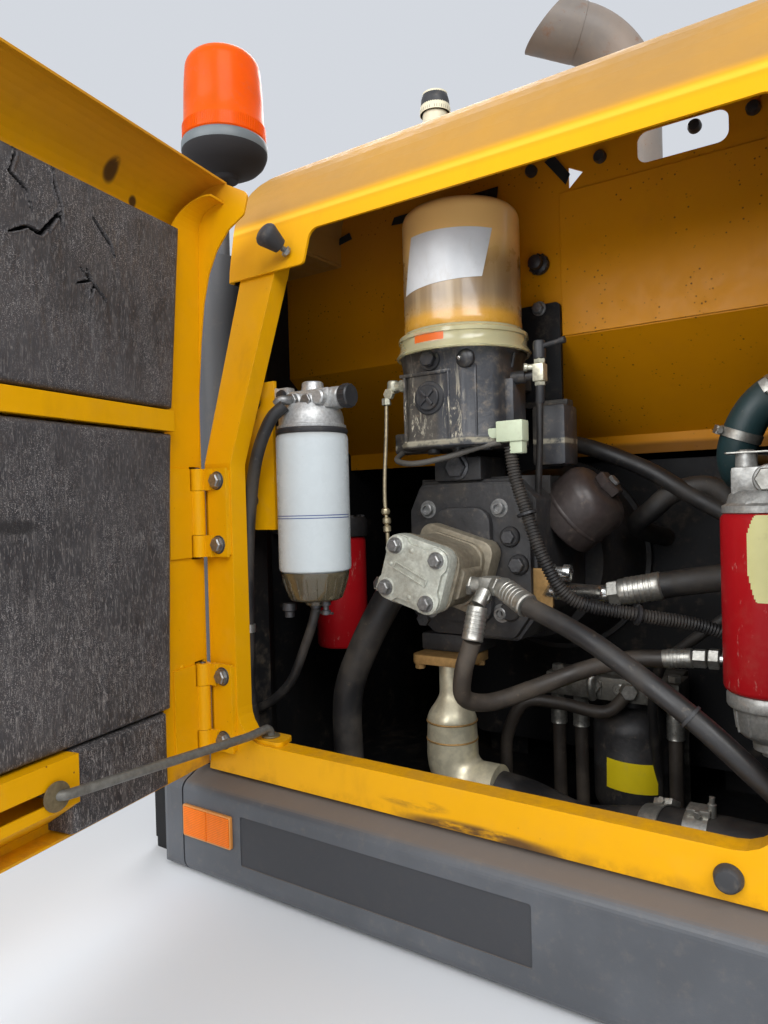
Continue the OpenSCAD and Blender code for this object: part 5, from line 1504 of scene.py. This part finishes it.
class BAY_OT_pumps(bpy.types.Operator):
    """Main pump, gear pump and suction pipe"""
    bl_idname = "bay.pumps"
    bl_label = "Pumps"

    def execute(self, context):
        self.gear_pump()
        self.main_pump()
        self.suction()
        return {"FINISHED"}

    def gear_pump(self):
        centre, turn = (298, 276), -17

        def face(outline, y, thickness, bevel, shape):
            flat = tilted(outline, centre, turn)
            return shape.plate(flat, (0, y, 0), RIGHT, UP, thickness, bevel)

        cover = Shape()
        face(rectangle(-49, -45, 48, 45, 19), 112, 21, 3, cover)
        lobes = rounded([(-48, -44), (-21, -44), (-14, -37), (14, -37), (21, -44), (47, -44), (47, -20), (42, -12),
            (42, 12), (47, 20), (47, 44), (21, 44), (14, 37), (-14, 37), (-21, 44), (-48, 44), (-48, 20), (-43, 12),
            (-43, -12), (-48, -20)], [17, 5, 5, 5, 5, 17, 5, 5, 5, 5, 17, 5, 5, 5, 5, 17, 5, 5, 5, 5])
        face(lobes, 91, 5, 2, cover)
        along, over = Vector((0.986, -0.166)), Vector((0.166, 0.986))
        for low, high in (((-26, 3.4), (26, 5)), ((-26, -5), (26, -3.4)), ((-27, -5), (-25, 5)), ((25, -5), (27, 5))):
            corners = [(low[0], low[1]), (high[0], low[1]), (high[0], high[1]), (low[0], high[1])]
            face([tuple(along * a + over * b - Vector((2, 0))) for a, b in corners], 86.4, 2.2, 0.6, cover)
        for x, z, r in ((-8, 30, 4), (4, -30, 3.4), (-34, 4, 3)):
            spot = tilted([(x, z)], centre, turn)[0]
            cover.turned((spot[0], 87, spot[1]), FRONT, [(r, 0), (r * 0.9, 1.6), (r * 0.6, 2.4), (0, 2.6)], 20)
        heads = []
        for sx in (-1, 1):
            for sz in (-1, 1):
                x, z = tilted([(sx * 32 - 1, sz * 29)], centre, turn)[0]
                cover.turned((x, 88, z), FRONT, [(13.5, 0), (13, 2.4), (11.5, 3.2), (0, 3.2)], 28)
                heads.append(((x, 84.8, z), FRONT, 15))
        make("gear_pump_front", cover, "gear_alloy", "gear_pump_cover")
        grown("gear_pump_bolts", point_mesh("gear_bolt_points", heads), bolt_tree(), {"Head height": 0.42}, "steel")
        body = Shape()
        face(rectangle(-49, -43, 49, 43, 26), 185, 73, 3, body)
        face(rectangle(-59, -52, 59, 52, 18), 215, 30, 4, body)
        face(rectangle(-51, -45, 51, 45, 24), 118, 5, 1.2, body)
        face(rectangle(-51, -45, 51, 45, 24), 186, 9, 2, body)
        face(rectangle(38, -22, 55, 20, 6), 176, 52, 3, body)
        make("gear_pump_housing", body, "gear_body", "gear_pump_body")

    def main_pump(self):
        x0, z0 = 212, 172
        body = Shape()
        outline = rounded([(x0, z0 + 30), (x0 + 40, z0), (x0 + 170, z0), (x0 + 200, z0 + 40), (x0 + 200, z0 + 198),
            (x0 + 170, z0 + 228), (x0 + 20, z0 + 228), (x0, z0 + 188)], 12, 5)
        body.plate(outline, (0, 418, 0), RIGHT, UP, 190, 4)
        inner = rounded([(x0 + 5, z0 + 33), (x0 + 42, z0 + 5), (x0 + 168, z0 + 5), (x0 + 195, z0 + 43),
            (x0 + 195, z0 + 194), (x0 + 167, z0 + 223), (x0 + 24, z0 + 223), (x0 + 5, z0 + 184)], 12, 5)
        body.plate(inner, (0, 232, 0), RIGHT, UP, 16, 3)
        body.plate(rectangle(262, 196, 352, 360, 24), (0, 218, 0), RIGHT, UP, 12, 5)
        body.block((258, 219, 398), (334, 303, 432), 4)
        body.block((230, 217, 150), (320, 285, 176), 4)
        for k in range(4):
            body.block((x0 + 6, 250 + k * 40, z0 + 60), (x0 + 196, 256 + k * 40, z0 + 231), 2)
        for px, pz in ((378, 318), (390, 280), (376, 216)):
            body.turned((px, 218, pz), FRONT, [(15, 0), (14, 6), (12, 8), (0, 8)], 28)
        make("main_pump_housing", body, "cast", "main_pump")
        plugs = Shape()
        nut(plugs, (296, 219, 418), FRONT, 28, 9)
        plugs.turned((296, 220, 418), FRONT, [(19, 0), (19, 3), (17, 4), (0, 4)], 32)
        nut(plugs, (378, 211, 318), FRONT, 17, 7)
        nut(plugs, (236, 219, 196), FRONT, 19, 8)
        nut(plugs, (390, 211, 280), FRONT, 19, 9)
        make("main_pump_plugs", plugs, "dark_steel")
        sockets = Shape()
        for x, z in ((248, 212), (362, 212), (248, 358), (362, 358)):
            sockets.turned((x, 217, z), FRONT, [(9, 0), (9, 8), (8, 9), (5.2, 9), (5, 4), (0, 4)], 28)
            sockets.turned((x, 218, z), FRONT, [(13, 0), (13, 2), (9, 2.2), (0, 2.2)], 28)
        make("main_pump_bolts", sockets, "steel")

    def suction(self):
        x, y = 275, 223
        flange = Shape()
        flange.plate(rectangle(-44, -40, 44, 44, 12), (x, y, 136), RIGHT, (0, 1, 0), 13.6, 2)
        for sx in (-1, 1):
            for sy in (-1, 1):
                flange.turned((x + sx * 33, y + sy * 30, 137), -UP, [(9, -2), (9, 1.6), (7, 2), (0, 2)], 20)
                nut(flange, (x + sx * 33, y + sy * 30, 135.4), -UP, 13, 7.5)
        make("suction_pipe_flange", flange, "flange", "suction_flange")
        path = [(x, y, 136), (x, y, 98)]
        radii = [17, 17]
        for k in range(11):
            s = k / 10
            radii.append(17 + 19 * (s * s * (3 - 2 * s)) ** 1.1)
            path.append((x, y, 94 - 42 * s))
        path += [(x, y, 46), (x, y, 20), (x, y, 3)]
        radii += [36, 37, 37.5]
        for k in range(1, 15):
            a = math.pi / 2 * k / 14
            path.append((x + 44 * (1 - math.cos(a)), y, 2 - 44 * math.sin(a)))
            radii.append(37.5)
        path.append((x + 74, y, -42))
        radii.append(37.5)
        pipe = Shape().swept(path, radii, 48)
        make("suction_pipe_tube", pipe, "gold", "suction_pipe")
        seams = Shape()
        for z, r in ((50, 36.6), (24, 37.2)):
            seams.turned((x, y, z - 1.8), UP, [(r - 1, 0), (r + 0.5, 0.9), (r + 0.9, 1.8), (r + 0.5, 2.7),
                (r - 1, 3.6)], 44)
        make("suction_pipe_seams", seams, "flange")


class BAY_OT_hydraulics(bpy.types.Operator):
    """Canister, accumulator, manifold, steel line, port plate and hose ends"""
    bl_idname = "bay.hydraulics"
    bl_label = "Hydraulics"

    def execute(self, context):
        self.canister()
        self.accumulator()
        self.manifold()
        self.fittings()
        return {"FINISHED"}

    def canister(self):
        start, way = Vector((408, 330, 330)), Vector((86, 0, 68))
        w = way.normalized()
        can = Shape().turned(start, way, [(0, 0), (50, 0), (53.4, 3), (54, 7), (54, 60), (53, 66), (50, 72), (45, 78),
            (39, 82), (22, 84.5), (0, 85)], 60)
        can.turned(start + w * 26, way, [(53.4, -2), (54.8, 0), (54.8, 4), (53.4, 6), (49, 6), (49, -2), (53.4, -2)],
            60)
        nut(can, start + w * 84, way, 38, 15)
        make("canister_body", can, "canister", "canister")
        tip = Shape()
        nut(tip, start + w * 98, way, 15, 6)
        make("canister_plug", tip, "steel")

    def accumulator(self):
        x, y, z = 470, 451, -135
        tank = Shape()
        profile = [(0, 0), (29, 0), (30, 2), (30, 9)]
        for k in range(9):
            a = math.radians(-90 + 90 * k / 8)
            profile.append((30 + 29.4 * math.cos(a), 40 + 29.4 * math.sin(a)))
        profile += [(59.4, 84), (60, 85), (60, 91), (59.4, 92)]
        for k in range(9):
            a = math.radians(90 * k / 8)
            profile.append((26 + 33.4 * math.cos(a), 142 + 33.6 * math.sin(a)))
        profile += [(19, 177), (17.5, 180), (17.5, 189), (0, 189.6)]
        tank.turned((x, y, z), UP, profile, 64)
        make("accumulator_shell", tank, "cast", "accumulator", slot="dark_paint")
        label = bent_label(Shape(), (x, y), 60.0, [(-113.3, -27.6), (-38.5, -32.7), (-39.6, -77.6), (-114.6, -72.5)])
        make("accumulator_label", label, "yellow_label")

    def manifold(self):
        block = Shape()
        block.block((345, 410, 55), (550, 476, 91), 3)
        block.plate(rectangle(-12, -13, 12, 13, 3), (424, 411, 73), RIGHT, UP, 3, 1)
        block.block((500, 470, 85), (540, 520, 91), 1)
        block.block((500, 514, -135), (540, 520, 86), 1)
        make("manifold_block", block, "manifold", "valve_block")
        ports = Shape()
        for x in (359, 396, 540):
            nut(ports, (x, 428, 90.5), UP, 17.2, 10)
            nut(ports, (x, 428, 55), -UP, 22, 12)
            ferrule(ports, (x, 428, 43), (x, 428, 5), 13)
        for x in (372, 462, 510):
            ports.turned((x, 411, 74), FRONT, [(9, -1), (9, 2), (7.6, 3), (4.4, 3), (4, 1.5), (0, 1.5)], 28)
        nut(ports, (445, 440, 91), UP, 19, 6)
        ports.swept(smooth_path([(424, 402, 58), (424, 394, 74), (424, 394, 88), (430, 398, 98)], 5), 6, 16)
        nut(ports, (424, 411, 78), FRONT, 22, 9)
        nut(ports, (474, 411, 74), (0.5, -1, 0.1), 22, 20)
        ports.turned((478, 404, 72), (-0.2, -0.1, -1), [(11, -8), (11, 8), (0, 10)], 20)
        make("manifold_fittings", ports, "ferrule")

    def fittings(self):
        parts = Shape()
        nut(parts, (342, 150, 258), RIGHT, 24, 12)
        parts.turned((353, 150, 258), RIGHT, [(10.5, 0), (10.5, 16), (12, 18), (12, 27), (0, 27)], 28)
        parts.block((366, 138, 246), (390, 162, 270), 4)
        nut(parts, (388, 146, 258), (22, -14, 0), 23, 14)
        ferrule(parts, (402, 136, 258), (446, 112, 240), 15)
        nut(parts, (375, 140, 249), (-4, -12, -18), 20, 10)
        parts.swept(smooth_path([(376, 138, 252), (374, 131, 243), (372, 126, 236)], 5), 9.2, 20)
        ferrule(parts, (371.5, 126, 233), (368, 115, 191), 13.6)
        make("gear_pump_hose_ends", parts, "ferrule", "hose_fittings")
        lines = Shape()
        nut(lines, (478, 322, 232), (60, 6, 11), 33, 17)
        ferrule(lines, (493, 323.5, 235), (550, 329, 246), 19.5)
        ferrule(lines, (556, 298, 152), (594, 300, 156), 12.8)
        nut(lines, (594, 300, 156), (80, 0, 2), 22, 17)
        nut(lines, (613, 300, 157), (80, 0, 2), 24, 14)
        make("delivery_hose_ends", lines, "ferrule", "hose_fittings")
        steel = Shape()
        steel.swept([(624, 300, 157.4), (690, 300, 158), (791, 300, 158)], 7.8, 24)
        steel.swept(smooth_path([(424, 225, 250), (434, 236, 244), (448, 276, 238), (462, 312, 233),
            (484, 322.4, 232.8)], 6), 12.2, 28)
        steel.turned((420, 236, 270), (1, 0.1, -0.05), [(11, 0), (11, 12), (8, 13), (8, 24), (11.5, 25), (11.5, 34),
            (8, 36), (0, 36)], 24)
        make("steel_line", steel, "bright_tube", "hose_fittings")
        plate = Shape()
        plate.plate(rectangle(396, 221, 434, 275, 4), (0, 229, 0), RIGHT, UP, 6, 1.2)
        make("pump_port_plate", plate, "flange")


class BAY_OT_hoses(bpy.types.Operator):
    """Hoses, conduit, clamps and ties"""
    bl_idname = "bay.hoses"
    bl_label = "Hoses"

    def execute(self, context):
        tube("filter_hose_lines", [
            ([(128, 42, 506), (110, 32, 486), (84, 32, 440), (62, 40, 380), (54, 39, 300), (50, 39, 200), (46, 42, 110),
              (48, 54, 20), (50, 58, -60), (54, 62, DECK_END)], 8.8),
            ([(135, 90, 226), (128, 88, 200), (112, 90, 168), (84, 92, 116), (50, 92, 84), (13.4, 90, 62)], 6.8)],
            "hose", "filter_hoses")
        tube("feed_hose_tube", [([(246, 150, 268), (217, 150, 232), (174, 150, 163), (142, 150, 90), (138, 152, 0),
            (145, 156, -70), (150, 160, DECK_END)], 21.8)], "hose", "feed_hose", sides=32)
        tube("diagonal_hose_tube", [([(446, 112, 240), (500, 95, 222), (550, 80, 200), (640, 62, 146), (706, 60, 92),
            (752, 68, 52), (RIGHT_END, 80, 36)], 11.8)], "hose", "diagonal_hose", sides=24)
        tube("loop_hose_tube", [([(368, 115, 190), (354, 116, 150), (346, 132, 112), (366, 170, 100), (410, 220, 114),
            (460, 262, 134), (514, 292, 148), (558, 298, 152)], 11.8)], "brown_hose", "loop_hose", steps=12, sides=24)
        tube("delivery_hose_tubes", [
            ([(300, 390, 400), (308, 396, 446), (390, 415, 456), (499, 420, 414), (583, 420, 361), (700, 425, 296),
              (RIGHT_END, 425, 270)], 12.8),
            ([(500, 560, 300), (486, 500, 312), (484, 450, 326), (512, 432, 348), (546, 430, 374), (594, 430, 380),
              (626, 432, 352), (644, 440, 300), (652, 470, 210), (650, 560, 170)], 15.5),
            ([(548, 329, 245.6), (590, 334, 253), (640, 342, 259), (720, 342, 262), (RIGHT_END, 335, 262)], 18.2)],
            "hose", "delivery_hoses", sides=24)
        tube("drain_hose_tube", [([(700, 352, 262), (655, 345, 226), (600, 345, 184), (566, 347, 156), (540, 352, 130),
            (520, 380, 60), (516, 420, -60), (516, 420, DECK_END)], 7.4)], "hose")
        tube("coolant_hose_tube", [([(RIGHT_END, 300, 520), (740, 300, 512), (680, 300, 480), (652, 304, 430),
            (650, 340, 396), (656, 450, 400), (660, 560, 400)], 23.6)], "teal_hose", "delivery_hoses", sides=32)
        drops = [([(x, 428, DECK_END), (x, 428, -60), (x, 428, 6)], 10.6) for x in (359, 396, 540)]
        tube("accumulator_hose_tubes", [([(478, 405, 72), (450, 380, 46), (385, 366, 54), (334, 352, 52), (304, 350, 0),
            (300, 350, -60), (300, 350, DECK_END)], 9.8)] + drops, "brown_hose", "accumulator_hoses")
        tube("sill_hose_tube", [([(350, 223, -42), (396, 220, -46), (480, 180, -46), (548, 146, -24), (610, 130, -8),
            (680, 126, -5), (RIGHT_END, 126, -8)], 29.6)], "hose", "sill_hose", steps=10, sides=36)
        pitch = context.scene.bay_sizes.conduit_pitch
        path = smooth_path([(392, 193, 440), (396, 196, 400), (412, 196, 350), (434, 196, 289), (466, 214, 236),
            (538, 250, 216), (617, 300, 196), (700, 334, 150), (RIGHT_END, 340, 140)], 10)
        grown("conduit_ribs", line_mesh("conduit_line", path), corrugated_tree(),
            {"Radius": 0.0083, "Depth": 0.0010, "Pitch": pitch, "Samples": 900}, "hose", "conduit", crease=80)
        bands = Shape()
        clamp(bands, (590, 134, -12), (86, -22, 20), 31, 24, (0.1, 0.5, 0.9))
        clamp(bands, (634, 128, -6.6), (90, -6, 5), 31, 26, (0, -0.1, 1))
        bands.turned((646, 124, 22), (0.05, -0.1, 1), [(4.5, 0), (4.5, 16), (3, 17), (3, 24), (0, 25)], 16)
        clamp(bands, (50, 39, 196), (0, 0.02, 1), 9.2, 12, (-0.9, -0.4, 0))
        clamp(bands, (656, 300.6, 442), (0.35, -0.05, 0.9), 24.2, 12, (-0.9, -0.4, 0.3))
        clamp(bands, (700, 300, 492), (0.85, 0, 0.45), 24.2, 12, (-0.4, -0.9, 0.2))
        clamp(bands, (228, 150, 246), (0.62, 0, 0.78), 22.2, 12, (-0.6, -0.7, 0.4))
        make("hose_clamps", bands, "ferrule")
        ties = Shape()
        for at, way in (((412, 196, 350), (0.3, 0, -1)), ((538, 250, 216), (0.8, 0.5, -0.2)),
                ((640, 62, 146), (0.75, 0, -0.6))):
            ties.turned(Vector(at) - Vector(way).normalized() * 2, way, [(9, 0), (13.6, 0.3), (13.6, 3.7), (9, 4)], 24)
        make("hose_ties", ties, "black_plastic")
        return {"FINISHED"}


class BAY_OT_panel_details(bpy.types.Operator):
    """Bolts, shade plates and bumpers of the inner panel, and the cap of the breather; the shade plates are near-black
    sheets painted in as the shade seen through the panel's openings
    """
    bl_idname = "bay.panel_details"
    bl_label = "Panel details"

    def execute(self, context):
        plate_bolts = [((x, 338.6, z), FRONT, 15) for x, z in ((378, 655), (398, 440), (240, 440))]
        grown("grease_plate_bolts", point_mesh("plate_bolt_points", plate_bolts), bolt_tree(), {"Head height": 0.5},
            "steel")
        recess = Shape()
        # Painted shade: near-black plates over the panel's openings, standing in for the dark inside of the bay.
        for outline in ([(112, 844), (118, 856), (312, 858), (309, 836), (200, 838)],
                [(-77, 821), (-84, 826), (22, 852), (27, 840)], [(389, 874), (421, 832), (428, 846), (404, 880)]):
            recess.plate(outline, (0, 346.6, 0), RIGHT, UP, 1.4, 0)
        make("panel_shade_plates", recess, "recess")
        pads = Shape()
        for x, z in ((368, 866), (473, 858), (601, 862), (672, 864)):
            pads.turned((x, 348, z), FRONT, [(9, 0), (9, 6), (7, 10), (0, 11)], 24)
        make("panel_bumpers", pads, "black_plastic")
        trim = Shape()
        trim.turned((111, 509, 1100), UP, [(0, 0), (28, 0), (29, 1.5), (29, 7), (28.5, 9), (27, 24), (24.5, 35),
            (22, 38), (0, 38)], 40)
        make("breather_cap", trim, "black_plastic")
        return {"FINISHED"}


# ---------------------------------------------------------------- sheet metal, stage and panel


class BAY_OT_finishes(bpy.types.Operator):
    """Mixes the paints, metals, rubbers and plastics"""
    bl_idname = "bay.finishes"
    bl_label = "Finishes"

    def execute(self, context):
        make_looks(context.scene.bay_colours)
        return {"FINISHED"}


class BAY_OT_sheet_metal(bpy.types.Operator):
    """Finishes of the sheet metal and of the other pieces kept from the CAD"""
    bl_idname = "bay.sheet_metal"
    bl_label = "Sheet metal"

    def execute(self, context):
        refinish("frame", "door_frame", "stay_tab", "hinge_frame_leaves")
        refinish("cap", "roof_cap", "hood_deck")
        refinish("panel", "inner_panel")
        # The dark wall paint also stands in for the deep shade inside the bay.
        refinish("wall", "left_bulkhead", "right_bulkhead", "back_wall", "deck_plate", "engine_block", "grease_plate")
        refinish("grey_pole", "corner_pillar")
        refinish("skirt", "skirt", "skirt_end")
        refinish("door", "door_skin", "door_border", "door_hinge_leaves")
        refinish("rail", "stay_rail")
        refinish("yellow", "filter_bracket")
        refinish("exhaust", "exhaust_stack")
        refinish("cream", "breather")
        refinish("cast", "pump_bell")
        return {"FINISHED"}


class BAY_OT_stage(bpy.types.Operator):
    """Floor, backdrop, lamps and camera"""
    bl_idname = "bay.stage"
    bl_label = "Stage"

    def execute(self, context):
        scene = context.scene
        scene.view_settings.view_transform = "Standard"
        reach = 60.0
        corners = [(-reach, -reach, 0), (reach, -reach, 0), (reach, reach, 0), (-reach, reach, 0)]
        mesh = bpy.data.meshes.new("stage_floor")
        mesh.from_pydata(corners, [], [[0, 1, 2, 3]])
        mesh.materials.append(self.floor_paint())
        ground = bpy.data.objects.new("stage_floor", mesh)
        scene.collection.objects.link(ground)
        self.sky(scene)
        self.lamp("lamp_key", (3.3, -3.3, 3.9), (0.0, 0.0, 0.45), 3.2, 225.0)
        self.lamp("lamp_fill", (-0.9, -4.2, 2.4), (0.0, 0.0, 0.4), 3.0, 150.0)
        self.lamp("lamp_back", (-2.4, 3.6, 4.2), (0.0, 0.2, 0.6), 3.0, 160.0)
        self.camera(scene)
        return {"FINISHED"}

    def floor_paint(self):
        g = Graph("stage_floor")
        tone = g.mix(g.band(g.noise(0.8, 4.0, 0.6), 0.3, 0.7), (0.60, 0.61, 0.63), (0.64, 0.65, 0.67))
        return g.finish(tone, 0.9)

    def sky(self, scene):
        world = bpy.data.worlds.new("stage_sky")
        scene.world = world
        world.use_nodes = True
        nodes, links = world.node_tree.nodes, world.node_tree.links
        nodes.clear()
        path = nodes.new("ShaderNodeLightPath")
        seen = path.outputs["Is Camera Ray"]
        for ray in ("Is Transmission Ray", "Is Glossy Ray"):
            either = nodes.new("ShaderNodeMath")
            either.operation = "MAXIMUM"
            links.new(seen, either.inputs[0])
            links.new(path.outputs[ray], either.inputs[1])
            seen = either.outputs[0]
        both = nodes.new("ShaderNodeMixShader")
        links.new(seen, both.inputs[0])
        lit, backdrop = ((0.80, 0.90, 1.0, 1.0), 0.62), ((0.66, 0.69, 0.74, 1.0), 1.0)
        for share, (colour, strength) in enumerate((lit, backdrop), 1):
            air = nodes.new("ShaderNodeBackground")
            air.inputs["Color"].default_value = colour
            air.inputs["Strength"].default_value = strength
            links.new(air.outputs[0], both.inputs[share])
        out = nodes.new("ShaderNodeOutputWorld")
        links.new(both.outputs[0], out.inputs["Surface"])

    def lamp(self, name, place, target, size, power):
        light = bpy.data.lights.new(name, "AREA")
        light.shape = "SQUARE"
        light.size = size
        light.energy = power
        piece = bpy.data.objects.new(name, light)
        piece.location = place
        piece.rotation_euler = (Vector(target) - Vector(place)).to_track_quat("-Z", "Y").to_euler()
        bpy.context.scene.collection.objects.link(piece)

    def camera(self, scene):
        data = bpy.data.cameras.new("camera")
        data.sensor_width = 36.0
        data.sensor_fit = "AUTO"
        data.lens = 26.02
        data.clip_start = 0.02
        camera = bpy.data.objects.new("camera", data)
        right, up = Vector((0.8258, 0.5633, -0.0269)), Vector((0.0160, 0.0243, 0.99958))
        back = right.cross(up).normalized()
        up = back.cross(right).normalized()
        turn = Matrix((right.normalized(), up, back)).transposed()
        camera.matrix_world = Matrix.Translation((0.478, -1.204, 0.518)) @ turn.to_4x4()
        scene.collection.objects.link(camera)
        scene.camera = camera


STEPS = [BAY_OT_finishes, BAY_OT_stage, BAY_OT_sheet_metal, BAY_OT_door_foam, BAY_OT_door_fittings, BAY_OT_stay,
    BAY_OT_beacon, BAY_OT_trim, BAY_OT_fuel_filter, BAY_OT_red_filters, BAY_OT_grease_pump, BAY_OT_pumps,
    BAY_OT_hydraulics, BAY_OT_hoses, BAY_OT_panel_details]


class BAY_PT_panel(bpy.types.Panel):
    """Lists the bay's sizes, colours and pieces"""
    bl_idname = "BAY_PT_panel"
    bl_label = "Service Bay"
    bl_space_type = "VIEW_3D"
    bl_region_type = "UI"
    bl_category = "Service Bay"

    def draw(self, context):
        column = self.layout.column(align=True)
        for group in (context.scene.bay_colours, context.scene.bay_sizes):
            for key in group.__annotations__:
                column.prop(group, key)
        for step in STEPS:
            column.operator(step.bl_idname)


def register():
    for group in (BayColours, BaySizes, *STEPS, BAY_PT_panel):
        bpy.utils.register_class(group)
    bpy.types.Scene.bay_colours = bpy.props.PointerProperty(type=BayColours)
    bpy.types.Scene.bay_sizes = bpy.props.PointerProperty(type=BaySizes)


def unregister():
    del bpy.types.Scene.bay_sizes
    del bpy.types.Scene.bay_colours
    for group in (BAY_PT_panel, *reversed(STEPS), BaySizes, BayColours):
        bpy.utils.unregister_class(group)


def main():
    register()
    for step in STEPS:
        group, name = step.bl_idname.split(".")
        getattr(getattr(bpy.ops, group), name)()


if __name__ == "__main__":
    main()
